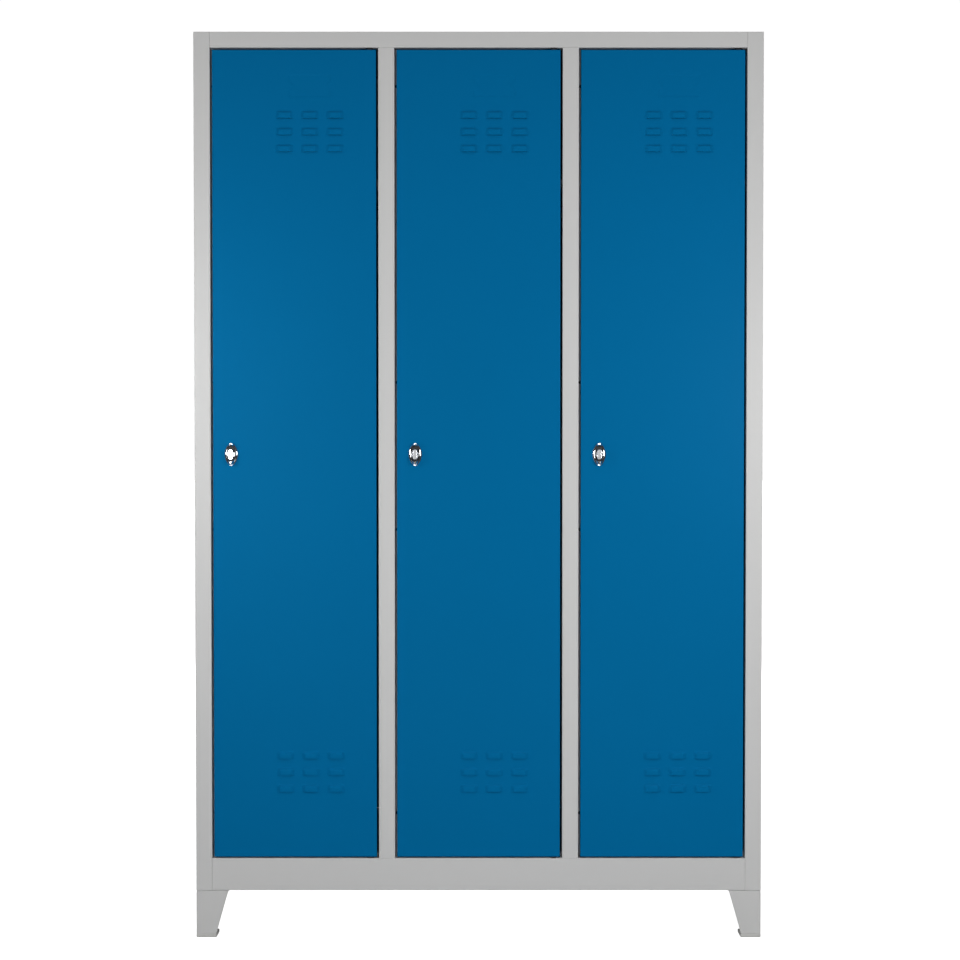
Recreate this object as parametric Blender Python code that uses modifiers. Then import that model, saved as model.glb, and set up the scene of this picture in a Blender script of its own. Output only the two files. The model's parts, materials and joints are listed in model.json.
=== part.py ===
"""Three-door clothes locker in folded sheet steel, on four tapered legs.

Metres, +Z up. The origin is on the floor, in the middle of the whole outline; the doors face -Y.
Each bay has a full-height door on concealed pivots at its right edge, a turning latch for a
padlock, a hat shelf and a clothes rail with two sliding hooks.
"""

import math

import bmesh
import bpy
from mathutils import Matrix, Vector

# Carcass
WIDTH = 1.190
DEPTH = 0.500  # from the front faces to the rear flanges
BODY_HEIGHT = 1.800
STILE = 0.034
MULLION = 0.034
HEAD_RAIL = 0.033
SILL = 0.068
STOP_LIP = 0.008  # how far a door stop stands into an opening
REAR_FLANGE = 0.015
ROOF_REAR_FLANGE = 0.020
FLOOR_FLANGE = 0.020  # turned in under the floor, for the legs
BAYS = ("left", "middle", "right")

# Sheet
SHEET = 0.0008
BEND = 0.0015  # outer radius of a fold
GAP = 0.0003  # left between pieces that touch
TRIM = 0.0005  # how much of a flange is cut back where another piece passes it

# Legs and feet
LEG_HEIGHT = 0.100
LEG_TOP = 0.068
LEG_BOTTOM = 0.042
LEG_SHEET = 0.002
LEG_BEND = 0.003
FOOT_HEIGHT = 0.008
FOOT_WIDTH = 0.043
FOOT_EDGE = 0.0015
FOOT_PLUG = 0.024
FOOT_PLUG_HEIGHT = 0.014

# Doors
DOOR_GAP = 0.0045
SILL_GAP = 0.003
DOOR_DEPTH = 0.020
DOOR_LIP = 0.014
DOOR_BEND = 0.002
STOP_CLEARANCE = 0.002  # from the back of a door to its stop
PIVOT_INSET = 0.014
PIVOT_DEPTH = 0.008
SWEEP_CLEARANCE = 0.001

# Louvres, pressed outwards in two groups
LOUVRE_WIDTH = 0.038
LOUVRE_HEIGHT = 0.016
LOUVRE_REACH = 0.004
LOUVRE_TOP_SHARE = 0.4  # of its width and reach that are left at a hood's top
LOUVRE_SIDES = 8
LOUVRE_COLUMNS = 3
LOUVRE_ROWS = 3
LOUVRE_COLUMN_PITCH = 0.053
LOUVRE_ROW_PITCH = 0.0349
LOUVRE_SHIFT = 0.033  # from the middle of the door towards its hinge
LOUVRE_FROM_TOP = 0.1425  # from the door's top edge to the first slit
LOUVRE_FROM_BOTTOM = 0.138  # from the door's bottom edge to the last slit

# Door stiffener
STIFFENER_INSET = 0.1025  # from the door's free edge to its middle
STIFFENER_CROWN = 0.026
STIFFENER_FLANGE = 0.010
STIFFENER_DRAFT = 0.002
STIFFENER_DEPTH = 0.015

# Pivots
PIN_RADIUS = 0.003
PIN_HEAD_RADIUS = 0.0055
PIN_HEAD = 0.003
PIN_REACH = 0.009  # past the door's edge
BUSH_WALL = 0.002
BUSH_FLANGE_RADIUS = 0.008
BUSH_BARREL = 0.006
RUNNING = 0.0003  # radial clearance of a turning fit

# Latch
LATCH_INSET = 0.0385  # from the door's free edge
LATCH_HEIGHT = 1.0185  # from the floor
LATCH_REACH = 0.0155
LATCH_WIDTH = 0.029
LATCH_LENGTH = 0.050
RIM_DRAFT = 0.002
RIM_HEIGHT = 0.0045
EAR_WIDTH = 0.020
EAR_LENGTH = 0.048
EAR_DRAFT = 0.0015
POCKET_RADIUS = 0.013
ROTOR_RADIUS = 0.010
ROTOR_FLOOR = 0.002
FIN_WIDTH = 0.010
FIN_LENGTH = 0.022
FIN_REACH = 0.015
FIN_EDGE = 0.0015
SHACKLE_RADIUS = 0.0037
SHACKLE_REACH = 0.0098
BARREL_RADIUS = 0.009
SPINDLE_RADIUS = 0.004
SPINDLE_TAIL = 0.002
NUT_ACROSS_FLATS = 0.027
NUT_THICKNESS = 0.004
CAM_CLEARANCE = 0.0012
CAM_THICKNESS = 0.003
CAM_RADIUS = 0.009
CAM_TIP_RADIUS = 0.006
CAM_PAST_EDGE = 0.001  # how far its tip goes past the edge of the opening

# Shelf, rail and hooks
SHELF_DROP = 0.300  # from the roof to the shelf
SHELF_SETBACK = 0.048  # from the front to the shelf's edge
SHELF_FLANGE = 0.018
SHELF_RETURN = 0.010
SHELF_SIDE_CLEARANCE = 0.0008
RAIL_WIDTH = 0.015
RAIL_HEIGHT = 0.030
RAIL_WALL = 0.0012
RAIL_DROP = 0.045  # from the shelf's top to the rail's middle
RAIL_END_CLEARANCE = 0.0015
HOOK_CLEARANCE = 0.0005
HOOK_WALL = 0.003
HOOK_WIDTH = 0.010
HOOK_WIRE = 0.003
HOOK_STEM = 0.016
HOOK_BOW = 0.013
HOOK_TURN = 190  # degrees round the bow
HOOK_STEPS = 8
HOOK_BEVEL = 1
HOOKS = 2

# Worked out
ROUND = 16  # sides of a round hole or barrel
SMALL_ROUND = 12  # sides of a pin, a bush or a spindle
OVAL_ROUND = 16  # sides of the clothes rail and of the loops on it
LATCH_ROUND = 24  # sides of the latch's outline, its knob and their recesses
FOLD_STEPS = 2  # faces across a fold
SMOOTH_BELOW = math.radians(35)  # edges between faces turned less than this are shaded smooth
CUT_MARGIN = 0.010  # how far a cutter stands out past the sheet
TOP = LEG_HEIGHT + BODY_HEIGHT
Y_BACK = (DEPTH + LATCH_REACH) / 2
Y_FRONT = Y_BACK - DEPTH
OPENING_WIDTH = (WIDTH - 2 * STILE - (len(BAYS) - 1) * MULLION) / len(BAYS)
PITCH = OPENING_WIDTH + MULLION
SILL_TOP = LEG_HEIGHT + SILL
HEAD_BOTTOM = TOP - HEAD_RAIL
REVEAL = DOOR_DEPTH + STOP_CLEARANCE
FLOOR_TOP = SILL_TOP + STOP_LIP
UNDER_ROOF = TOP - SHEET - GAP
INNER_SIDE = WIDTH / 2 - SHEET - GAP
BACK_REAR = Y_BACK - SHEET - GAP
BACK_FRONT = BACK_REAR - SHEET
DOOR_WIDTH = OPENING_WIDTH - 2 * DOOR_GAP
DOOR_BOTTOM = SILL_TOP + SILL_GAP
DOOR_TOP = HEAD_BOTTOM - DOOR_GAP
DOOR_LEFT = PIVOT_INSET - DOOR_WIDTH  # measured from the hinge line
DOOR_FRONT = -PIVOT_DEPTH
SWEEP = math.hypot(PIVOT_INSET, DOOR_DEPTH - PIVOT_DEPTH) + SWEEP_CLEARANCE
SWEEP_BACK = Y_FRONT + PIVOT_DEPTH + SWEEP
CAM_FRONT = REVEAL + SHEET + CAM_CLEARANCE  # behind the door's front face
SHELF_TOP = TOP - SHELF_DROP
SHELF_FRONT = Y_FRONT + SHELF_SETBACK
SHELF_BACK = BACK_FRONT - 2 * GAP - SHEET
RAIL_Y = (SHELF_FRONT + SHELF_BACK) / 2
RAIL_Z = SHELF_TOP - RAIL_DROP


def clear_scene():
    for obj in list(bpy.data.objects):
        bpy.data.objects.remove(obj, do_unlink=True)


def new_collection(name):
    collection = bpy.data.collections.new(name)
    bpy.context.scene.collection.children.link(collection)
    return collection


def new_material(name, colour, roughness, metallic):
    material = bpy.data.materials.new(name)
    material.use_nodes = True
    shader = material.node_tree.nodes["Principled BSDF"]
    shader.inputs["Base Color"].default_value = (*colour, 1)
    shader.inputs["Roughness"].default_value = roughness
    shader.inputs["Metallic"].default_value = metallic
    material.diffuse_color = (*colour, 1)
    return material


clear_scene()
PARTS = new_collection("locker_cabinet")
CUTTERS = new_collection("cutters")
BODY_GREY = new_material("body_grey", (0.58, 0.58, 0.57), 0.45, 0.0)
DOOR_BLUE = new_material("door_blue", (0.002, 0.13, 0.32), 0.4, 0.0)
CHROME = new_material("chrome", (0.8, 0.81, 0.83), 0.12, 1.0)
ZINC = new_material("zinc_plate", (0.6, 0.61, 0.62), 0.35, 1.0)
NYLON = new_material("black_nylon", (0.02, 0.02, 0.022), 0.45, 0.0)
GREY_PLASTIC = new_material("grey_plastic", (0.55, 0.55, 0.54), 0.5, 0.0)
BLACK_PLASTIC = new_material("black_plastic", (0.02, 0.02, 0.02), 0.5, 0.0)


# Building blocks


def add_box(bm, low, high):
    low = Vector(low)
    high = Vector(high)
    size = Matrix.Diagonal((*(high - low), 1))
    matrix = Matrix.Translation((low + high) / 2) @ size
    return bmesh.ops.create_cube(bm, size=1, matrix=matrix)["verts"]


def add_cone(bm, start, end, radius, end_radius=None, sides=ROUND):
    """A cylinder from start to end, or a cone when it ends on another radius."""
    start = Vector(start)
    end = Vector(end)
    turn = (end - start).to_track_quat("Z", "Y").to_matrix().to_4x4()
    matrix = Matrix.Translation((start + end) / 2) @ turn
    last = radius if end_radius is None else end_radius
    return bmesh.ops.create_cone(
        bm, cap_ends=True, segments=sides, radius1=radius, radius2=last,
        depth=(end - start).length, matrix=matrix,
    )["verts"]


def round_edges(bm, edges, radius, steps=FOLD_STEPS):
    bmesh.ops.bevel(bm, geom=edges, offset=radius, segments=steps, profile=0.5, affect="EDGES")


def add_part(name, bm, material, parent=None, place=(0, 0, 0), smooth=False):
    mesh = bpy.data.meshes.new(name)
    bm.to_mesh(mesh)
    bm.free()
    mesh.materials.append(material)
    if smooth:
        mesh.shade_smooth()
        mesh.set_sharp_from_angle(angle=SMOOTH_BELOW)
    obj = bpy.data.objects.new(name, mesh)
    PARTS.objects.link(obj)
    obj.parent = parent
    obj.location = place
    return obj


def add_cutter(name, bm, parent=None, place=(0, 0, 0)):
    mesh = bpy.data.meshes.new(name)
    bm.to_mesh(mesh)
    bm.free()
    obj = bpy.data.objects.new(name, mesh)
    CUTTERS.objects.link(obj)
    obj.parent = parent
    obj.location = place
    obj.hide_render = True
    obj.display_type = "WIRE"
    return obj


def add_empty(name, place, parent=None):
    empty = bpy.data.objects.new(name, None)
    PARTS.objects.link(empty)
    empty.empty_display_size = 0.05
    empty.parent = parent
    empty.location = place
    return empty


def solidify(obj, thickness):
    wall = obj.modifiers.new("Wall", "SOLIDIFY")
    wall.thickness = thickness
    wall.offset = -1
    wall.use_even_offset = True


def join_with(obj, other):
    union = obj.modifiers.new("Join", "BOOLEAN")
    union.operation = "UNION"
    union.object = other


def cut_with(obj, other):
    cut = obj.modifiers.new("Cut", "BOOLEAN")
    cut.operation = "DIFFERENCE"
    cut.object = other


def at(axis, point, along):
    """A point of a folded path, in the plane across the axis, at a place along it."""
    if axis == "Z":
        return Vector((point[0], point[1], along))
    return Vector((along, point[0], point[1]))


def folded_sheet(name, path, axis, low, high, material=None, parent=None):
    """A sheet folded along a path, which is its outer face; the metal is on the path's right."""
    folds = len(path) - 1
    bm = bmesh.new()
    bmesh.ops.create_grid(bm, x_segments=folds, y_segments=1, size=1)
    step = {vert: round((vert.co.x + 1) / 2 * folds) for vert in bm.verts}
    for vert in bm.verts:
        vert.co = at(axis, path[step[vert]], high if vert.co.y < 0 else low)
    bm.normal_update()
    bends = [
        edge for edge in bm.edges
        if step[edge.verts[0]] == step[edge.verts[1]] and 0 < step[edge.verts[0]] < folds
    ]
    round_edges(bm, bends, BEND)
    obj = add_part(name, bm, material or BODY_GREY, parent)
    solidify(obj, SHEET)
    return obj


def turned(name, profile, material, parent=None, place=(0, 0, 0), closed=False):
    """A turned piece. Its profile of (radius, height) runs down its outer side."""
    bm = bmesh.new()
    verts = [bm.verts.new((radius, 0, height)) for radius, height in profile]
    for first, second in zip(verts, verts[1:]):
        bm.edges.new((first, second))
    if closed:
        bm.edges.new((verts[-1], verts[0]))
    obj = add_part(name, bm, material, parent, place)
    screw = obj.modifiers.new("Turn", "SCREW")
    screw.steps = SMALL_ROUND
    screw.render_steps = SMALL_ROUND
    screw.use_merge_vertices = True
    screw.merge_threshold = 0.00001
    return obj


def arc(centre, radius, start, end, count):
    """Points on an arc in a plane, from one angle in degrees to another."""
    points = []
    for i in range(count + 1):
        angle = math.radians(start + (end - start) * i / count)
        points.append((centre[0] + radius * math.cos(angle), centre[1] + radius * math.sin(angle)))
    return points


# Carcass


def opening_left(bay):
    return -WIDTH / 2 + STILE + bay * PITCH


def hinge_x(bay):
    return opening_left(bay) + OPENING_WIDTH - DOOR_GAP - PIVOT_INSET


def mullion_x(bay):
    """The middle of the mullion to the right of a bay."""
    return opening_left(bay) + OPENING_WIDTH + MULLION / 2


def side_panels():
    outer = WIDTH / 2
    reveal = outer - STILE
    stop = Y_FRONT + REVEAL
    folded_sheet("left_side_panel", [
        (STOP_LIP - reveal, stop), (-reveal, stop), (-reveal, Y_FRONT), (-outer, Y_FRONT),
        (-outer, Y_BACK), (REAR_FLANGE - outer, Y_BACK),
    ], "Z", LEG_HEIGHT, UNDER_ROOF)
    folded_sheet("right_side_panel", [
        (outer - REAR_FLANGE, Y_BACK), (outer, Y_BACK), (outer, Y_FRONT), (reveal, Y_FRONT),
        (reveal, stop), (reveal + STILE / 2, stop),
    ], "Z", LEG_HEIGHT, UNDER_ROOF)


def lip_notches(bm, low, high):
    """Where the stop lips of the roof and the floor make way for stiles, mullions and doors."""
    front = Y_FRONT + REVEAL - BEND - TRIM
    starts = [-WIDTH / 2] + [hinge_x(bay) - SWEEP for bay in range(len(BAYS))]
    ends = [opening_left(bay) + STOP_LIP + GAP for bay in range(len(BAYS))] + [WIDTH / 2]
    for start, end in zip(starts, ends):
        add_box(bm, (start, front, low), (end, SWEEP_BACK, high))


def corner_notches(bm, low, high):
    """Where the stiles and the rear flanges of the side panels pass."""
    stile = WIDTH / 2 - STILE - GAP
    rear = WIDTH / 2 - REAR_FLANGE - GAP
    for side in (-1, 1):
        xs = sorted((side * stile, side * (WIDTH / 2 + CUT_MARGIN)))
        front = Y_FRONT + REVEAL + SHEET + GAP
        add_box(bm, (xs[0], Y_FRONT - CUT_MARGIN, low), (xs[1], front, high))
        xs = sorted((side * rear, side * (WIDTH / 2 + CUT_MARGIN)))
        add_box(bm, (xs[0], BACK_REAR - GAP / 2, low), (xs[1], Y_BACK + CUT_MARGIN, high))


def pivot_holes(bm, height):
    for bay in range(len(BAYS)):
        centre = Vector((hinge_x(bay), Y_FRONT + PIVOT_DEPTH, height))
        reach = Vector((0, 0, 3 * SHEET))
        radius = PIN_RADIUS + RUNNING + BUSH_WALL + GAP
        add_cone(bm, centre - reach, centre + reach, radius)


def roof_panel():
    roof = folded_sheet("roof_panel", [
        (Y_FRONT + REVEAL, HEAD_BOTTOM - STOP_LIP), (Y_FRONT + REVEAL, HEAD_BOTTOM),
        (Y_FRONT, HEAD_BOTTOM), (Y_FRONT, TOP), (Y_BACK, TOP), (Y_BACK, TOP - ROOF_REAR_FLANGE),
    ], "X", -WIDTH / 2, WIDTH / 2)
    corners = bmesh.new()
    corner_notches(corners, HEAD_BOTTOM - 2 * STOP_LIP, TOP - SHEET - GAP / 2)
    cut_with(roof, add_cutter("roof_corner_cuts", corners))
    lips = bmesh.new()
    lip_notches(lips, HEAD_BOTTOM - 2 * STOP_LIP, HEAD_BOTTOM + 2 * SHEET)
    pivot_holes(lips, HEAD_BOTTOM)
    cut_with(roof, add_cutter("roof_lip_cuts", lips))


def floor_panel():
    floor = folded_sheet("floor_panel", [
        (Y_FRONT + FLOOR_FLANGE, LEG_HEIGHT), (Y_FRONT, LEG_HEIGHT), (Y_FRONT, SILL_TOP),
        (Y_FRONT + REVEAL, SILL_TOP), (Y_FRONT + REVEAL, FLOOR_TOP), (Y_BACK, FLOOR_TOP),
        (Y_BACK, LEG_HEIGHT), (Y_BACK - FLOOR_FLANGE, LEG_HEIGHT),
    ], "X", -INNER_SIDE, INNER_SIDE)
    corners = bmesh.new()
    corner_notches(corners, LEG_HEIGHT - STOP_LIP, FLOOR_TOP + STOP_LIP)
    cut_with(floor, add_cutter("floor_corner_cuts", corners))
    lips = bmesh.new()
    lip_notches(lips, SILL_TOP - 2 * SHEET, FLOOR_TOP + STOP_LIP)
    pivot_holes(lips, SILL_TOP)
    cut_with(floor, add_cutter("floor_lip_cuts", lips))


def back_panel():
    bm = bmesh.new()
    add_box(bm, (-INNER_SIDE, BACK_FRONT, FLOOR_TOP + GAP), (INNER_SIDE, BACK_REAR, UNDER_ROOF))
    add_part("back_panel", bm, BODY_GREY)


def mullion(name, middle):
    half = MULLION / 2
    stop = Y_FRONT + REVEAL
    folded_sheet(name, [
        (middle + half + STOP_LIP, stop), (middle + half, stop), (middle + half, Y_FRONT),
        (middle - half, Y_FRONT), (middle - half, stop), (middle, stop),
    ], "Z", SILL_TOP + GAP, HEAD_BOTTOM - GAP)


def partition(name, middle):
    front = Y_FRONT + REVEAL + GAP + SHEET
    rear = BACK_FRONT - GAP
    folded_sheet(name, [
        (middle - MULLION / 2, front), (middle, front), (middle, rear), (middle + REAR_FLANGE, rear),
    ], "Z", FLOOR_TOP + GAP, UNDER_ROOF)


def leg_point(point, side, end):
    """A point measured inwards from a leg's outer corner, placed at its corner of the locker."""
    x = side * (WIDTH / 2 - point[0])
    y = Y_FRONT + point[1] if end < 0 else Y_BACK - point[1]
    return Vector((x, y, point[2]))


def leg(name, side, end):
    """Two tapered walls and the top plate, folded from one sheet."""
    bm = bmesh.new()
    bmesh.ops.create_cube(bm, size=1)
    inner = [
        face for face in bm.faces
        if face.normal.x > 0.5 or face.normal.y > 0.5 or face.normal.z < -0.5
    ]
    bmesh.ops.delete(bm, geom=inner, context="FACES")
    for vert in bm.verts:
        width = LEG_TOP if vert.co.z > 0 else LEG_BOTTOM
        height = LEG_HEIGHT - GAP if vert.co.z > 0 else FOOT_HEIGHT + GAP
        point = ((vert.co.x + 0.5) * width, (vert.co.y + 0.5) * width, height)
        vert.co = leg_point(point, side, end)
    if side != end:
        bmesh.ops.reverse_faces(bm, faces=bm.faces[:])
    bm.normal_update()
    folds = [edge for edge in bm.edges if len(edge.link_faces) == 2]
    round_edges(bm, folds, LEG_BEND)
    solidify(add_part(name, bm, BODY_GREY, smooth=True), LEG_SHEET)


def foot(name, side, end):
    """A plastic shoe: a pad under the leg with a plug that stands inside its fold."""
    bm = bmesh.new()
    low = leg_point((0, 0, 0), side, end)
    high = leg_point((FOOT_WIDTH, FOOT_WIDTH, FOOT_HEIGHT), side, end)
    corners = [sorted(pair) for pair in zip(low, high)]
    add_box(bm, [pair[0] for pair in corners], [pair[1] for pair in corners])
    edges = [edge for edge in bm.edges if max(vert.co.z for vert in edge.verts) < FOOT_HEIGHT / 2]
    round_edges(bm, edges, FOOT_EDGE, 1)
    shoe = add_part(name, bm, GREY_PLASTIC)
    plug = bmesh.new()
    inside = LEG_SHEET + GAP
    low = leg_point((inside, inside, FOOT_HEIGHT / 2), side, end)
    top = FOOT_HEIGHT + FOOT_PLUG_HEIGHT
    high = leg_point((inside + FOOT_PLUG, inside + FOOT_PLUG, top), side, end)
    corners = [sorted(pair) for pair in zip(low, high)]
    add_box(plug, [pair[0] for pair in corners], [pair[1] for pair in corners])
    corner = [
        edge for edge in plug.edges
        if abs(edge.verts[0].co.z - edge.verts[1].co.z) > FOOT_PLUG_HEIGHT / 2
    ]
    round_edges(plug, corner, LEG_BEND, 1)
    join_with(shoe, add_cutter(name + "_plug", plug))


def legs():
    for side_name, side in (("left", -1), ("right", 1)):
        for end_name, end in (("front", -1), ("rear", 1)):
            leg(f"{end_name}_{side_name}_leg", side, end)
            foot(f"{end_name}_{side_name}_foot", side, end)


# Doors


def add_hoods(bm, wall, below, back=None):
    """One blunt half cone for each louvre, flat at its slit. Past back it is cut off."""
    middle = DOOR_LEFT + DOOR_WIDTH / 2 + LOUVRE_SHIFT
    rows = [row * LOUVRE_ROW_PITCH for row in range(LOUVRE_ROWS)]
    slits = [DOOR_TOP - LOUVRE_FROM_TOP - row for row in rows]
    slits += [DOOR_BOTTOM + LOUVRE_FROM_BOTTOM + row for row in rows]
    height = LOUVRE_HEIGHT - wall + below
    turn = Matrix.Rotation(math.pi / LOUVRE_SIDES, 4, "Z")
    radius = 1 / math.cos(math.pi / LOUVRE_SIDES)
    top = LOUVRE_TOP_SHARE * radius
    for slit in slits:
        for column in range(LOUVRE_COLUMNS):
            x = middle + (column - (LOUVRE_COLUMNS - 1) / 2) * LOUVRE_COLUMN_PITCH
            radii = Matrix.Diagonal((LOUVRE_WIDTH / 2 - wall, LOUVRE_REACH - wall, height, 1))
            place = Matrix.Translation((x, DOOR_FRONT, slit - below + height / 2))
            bmesh.ops.create_cone(
                bm, cap_ends=True, segments=LOUVRE_SIDES, radius1=radius, radius2=top, depth=1,
                matrix=place @ radii @ turn,
            )
    if back is not None:
        geom = bm.verts[:] + bm.edges[:] + bm.faces[:]
        cut = bmesh.ops.bisect_plane(
            bm, geom=geom, plane_co=(0, back, 0), plane_no=(0, 1, 0), clear_outer=True
        )
        rims = [item for item in cut["geom_cut"] if isinstance(item, bmesh.types.BMEdge)]
        bmesh.ops.holes_fill(bm, edges=rims)


def door_skin(name, hinge):
    """A pan with a lip all round behind, its louvres pressed out and its holes cut."""
    bm = bmesh.new()
    back = DOOR_FRONT + DOOR_DEPTH
    add_box(bm, (DOOR_LEFT, DOOR_FRONT, DOOR_BOTTOM), (PIVOT_INSET, back, DOOR_TOP))
    rear = [face for face in bm.faces if face.normal.y > 0.5]
    bmesh.ops.inset_individual(bm, faces=rear, thickness=DOOR_LIP)
    bmesh.ops.delete(bm, geom=rear, context="FACES")
    bm.normal_update()
    folds = [edge for edge in bm.edges if len(edge.link_faces) == 2 and edge.calc_face_angle() > 1]
    round_edges(bm, folds, DOOR_BEND)
    skin = add_part(name, bm, DOOR_BLUE, hinge)
    solidify(skin, SHEET)
    hoods = bmesh.new()
    add_hoods(hoods, 0, 0, DOOR_FRONT + SHEET / 2)
    join_with(skin, add_cutter(name + "_hoods", hoods, hinge))
    holes = bmesh.new()
    add_hoods(holes, SHEET, GAP)
    latch = Vector((DOOR_LEFT + LATCH_INSET, DOOR_FRONT, LATCH_HEIGHT))
    reach = Vector((0, 2 * SHEET, 0))
    add_cone(holes, latch - reach, latch + reach, BARREL_RADIUS + GAP)
    for height in (DOOR_BOTTOM, DOOR_TOP):
        reach = 2 * SHEET
        add_cone(holes, (0, 0, height - reach), (0, 0, height + reach), PIN_RADIUS + GAP)
    cut_with(skin, add_cutter(name + "_holes", holes, hinge))


def door_stiffener(name, hinge):
    middle = DOOR_LEFT + STIFFENER_INSET
    base = DOOR_FRONT + SHEET + GAP
    crown = STIFFENER_CROWN / 2
    foot_edge = crown + STIFFENER_DRAFT
    wide = foot_edge + STIFFENER_FLANGE
    top = base + STIFFENER_DEPTH
    folded_sheet(name, [
        (middle + wide, base + SHEET), (middle + foot_edge, base + SHEET), (middle + crown, top),
        (middle - crown, top), (middle - foot_edge, base + SHEET), (middle - wide, base + SHEET),
    ], "Z", DOOR_BOTTOM + SHEET + GAP, DOOR_TOP - SHEET - GAP, DOOR_BLUE, hinge)


def pins_and_bushes(bay_name, bay, hinge):
    """The lower pair carries the door: its bottom rests on the bush's flange."""
    bore = PIN_RADIUS + RUNNING
    barrel = bore + BUSH_WALL
    for end, rail, door_edge, up in (
        ("upper", HEAD_BOTTOM, DOOR_TOP, 1), ("lower", SILL_TOP, DOOR_BOTTOM, -1)
    ):
        inside = door_edge - up * (SHEET + GAP)
        pin = [
            (0, inside - up * PIN_HEAD), (PIN_HEAD_RADIUS, inside - up * PIN_HEAD),
            (PIN_HEAD_RADIUS, inside), (PIN_RADIUS, inside),
            (PIN_RADIUS, door_edge + up * PIN_REACH), (0, door_edge + up * PIN_REACH),
        ]
        turned(f"{bay_name}_{end}_pin", pin if up < 0 else pin[::-1], ZINC, hinge)
        near = rail - up * GAP
        low = door_edge + up * GAP
        bush = [
            (bore, low), (BUSH_FLANGE_RADIUS, low), (BUSH_FLANGE_RADIUS, near), (barrel, near),
            (barrel, rail + up * BUSH_BARREL), (bore, rail + up * BUSH_BARREL),
        ]
        place = (hinge_x(bay), Y_FRONT + PIVOT_DEPTH, 0)
        outline = bush if up < 0 else bush[::-1]
        turned(f"{bay_name}_{end}_bush", outline, NYLON, None, place, closed=True)


def add_oval_cone(bm, reach, base, draft, near=0.0):
    """An elliptical boss on the door's face, base wide and high, drawn in by draft at its front."""
    width, height = base
    cone = bmesh.ops.create_cone(
        bm, cap_ends=True, segments=LATCH_ROUND, radius1=1, radius2=1, depth=reach - near,
        matrix=Matrix.Rotation(math.pi / 2, 4, "X"),
    )["verts"]
    for vert in cone:
        front = vert.co.y < 0
        inset = draft if front else 0
        vert.co.x *= width / 2 - inset
        vert.co.z *= height / 2 - inset
        vert.co.y = -reach if front else -near


def latch_base(name, axis):
    """The fixed body, with its threaded barrel behind and a padlock ear at each end."""
    bm = bmesh.new()
    add_oval_cone(bm, RIM_HEIGHT, (LATCH_WIDTH, LATCH_LENGTH), RIM_DRAFT, GAP)
    base = add_part(name, bm, CHROME, axis)
    ears = bmesh.new()
    add_oval_cone(ears, LATCH_REACH, (EAR_WIDTH, EAR_LENGTH), EAR_DRAFT, GAP * 2)
    join_with(base, add_cutter(name + "_ears", ears, axis))
    barrel = bmesh.new()
    add_cone(barrel, (0, -ROTOR_FLOOR / 2, 0), (0, CAM_FRONT - GAP, 0), BARREL_RADIUS)
    join_with(base, add_cutter(name + "_barrel", barrel, axis))
    pocket = bmesh.new()
    far = (0, -2 * LATCH_REACH, 0)
    add_cone(pocket, (0, -RIM_HEIGHT, 0), far, POCKET_RADIUS, sides=LATCH_ROUND)
    cut_with(base, add_cutter(name + "_pocket", pocket, axis))
    recess = bmesh.new()
    radius = ROTOR_RADIUS + RUNNING
    add_cone(recess, (0, -ROTOR_FLOOR, 0), (0, -LATCH_REACH, 0), radius, sides=LATCH_ROUND)
    cut_with(base, add_cutter(name + "_recess", recess, axis))
    bores = bmesh.new()
    radius = SPINDLE_RADIUS + RUNNING
    add_cone(bores, (0, -LATCH_REACH, 0), (0, 2 * CAM_FRONT, 0), radius)
    cut_with(base, add_cutter(name + "_bore", bores, axis))
    shackle = bmesh.new()
    y = -SHACKLE_REACH
    add_cone(shackle, (0, y, -LATCH_LENGTH), (0, y, LATCH_LENGTH), SHACKLE_RADIUS)
    cut_with(base, add_cutter(name + "_shackle_hole", shackle, axis))


def latch_nut(name, axis):
    bm = bmesh.new()
    near = SHEET + GAP
    radius = NUT_ACROSS_FLATS / math.sqrt(3)
    add_cone(bm, (0, near, 0), (0, near + NUT_THICKNESS, 0), radius, sides=6)
    nut = add_part(name, bm, ZINC, axis)
    bore = bmesh.new()
    add_cone(bore, (0, 0, 0), (0, 2 * NUT_THICKNESS, 0), BARREL_RADIUS + GAP)
    cut_with(nut, add_cutter(name + "_bore", bore, axis))


def latch_knob(name, axis):
    """The turning part: a disc in the recess, a fin across it and a spindle to the cam."""
    bm = bmesh.new()
    floor = (0, -ROTOR_FLOOR - GAP, 0)
    add_cone(bm, floor, (0, -RIM_HEIGHT - GAP, 0), ROTOR_RADIUS, sides=LATCH_ROUND)
    knob = add_part(name, bm, CHROME, axis)
    fin = bmesh.new()
    side = FIN_WIDTH / 2
    end = FIN_LENGTH / 2
    root = -RIM_HEIGHT - GAP / 2
    add_box(fin, (-side, -FIN_REACH, -end), (side, root, end))
    front = [edge for edge in fin.edges if all(vert.co.y < root - GAP for vert in edge.verts)]
    round_edges(fin, front, FIN_EDGE)
    join_with(knob, add_cutter(name + "_fin", fin, axis))
    spindle = bmesh.new()
    tail = CAM_FRONT + CAM_THICKNESS + SPINDLE_TAIL
    add_cone(spindle, (0, -RIM_HEIGHT, 0), (0, tail, 0), SPINDLE_RADIUS, sides=SMALL_ROUND)
    join_with(knob, add_cutter(name + "_spindle", spindle, axis))
    shackle = bmesh.new()
    y = -SHACKLE_REACH
    add_cone(shackle, (-FIN_WIDTH, y, 0), (FIN_WIDTH, y, 0), SHACKLE_RADIUS)
    cut_with(knob, add_cutter(name + "_shackle_hole", shackle, axis))


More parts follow.
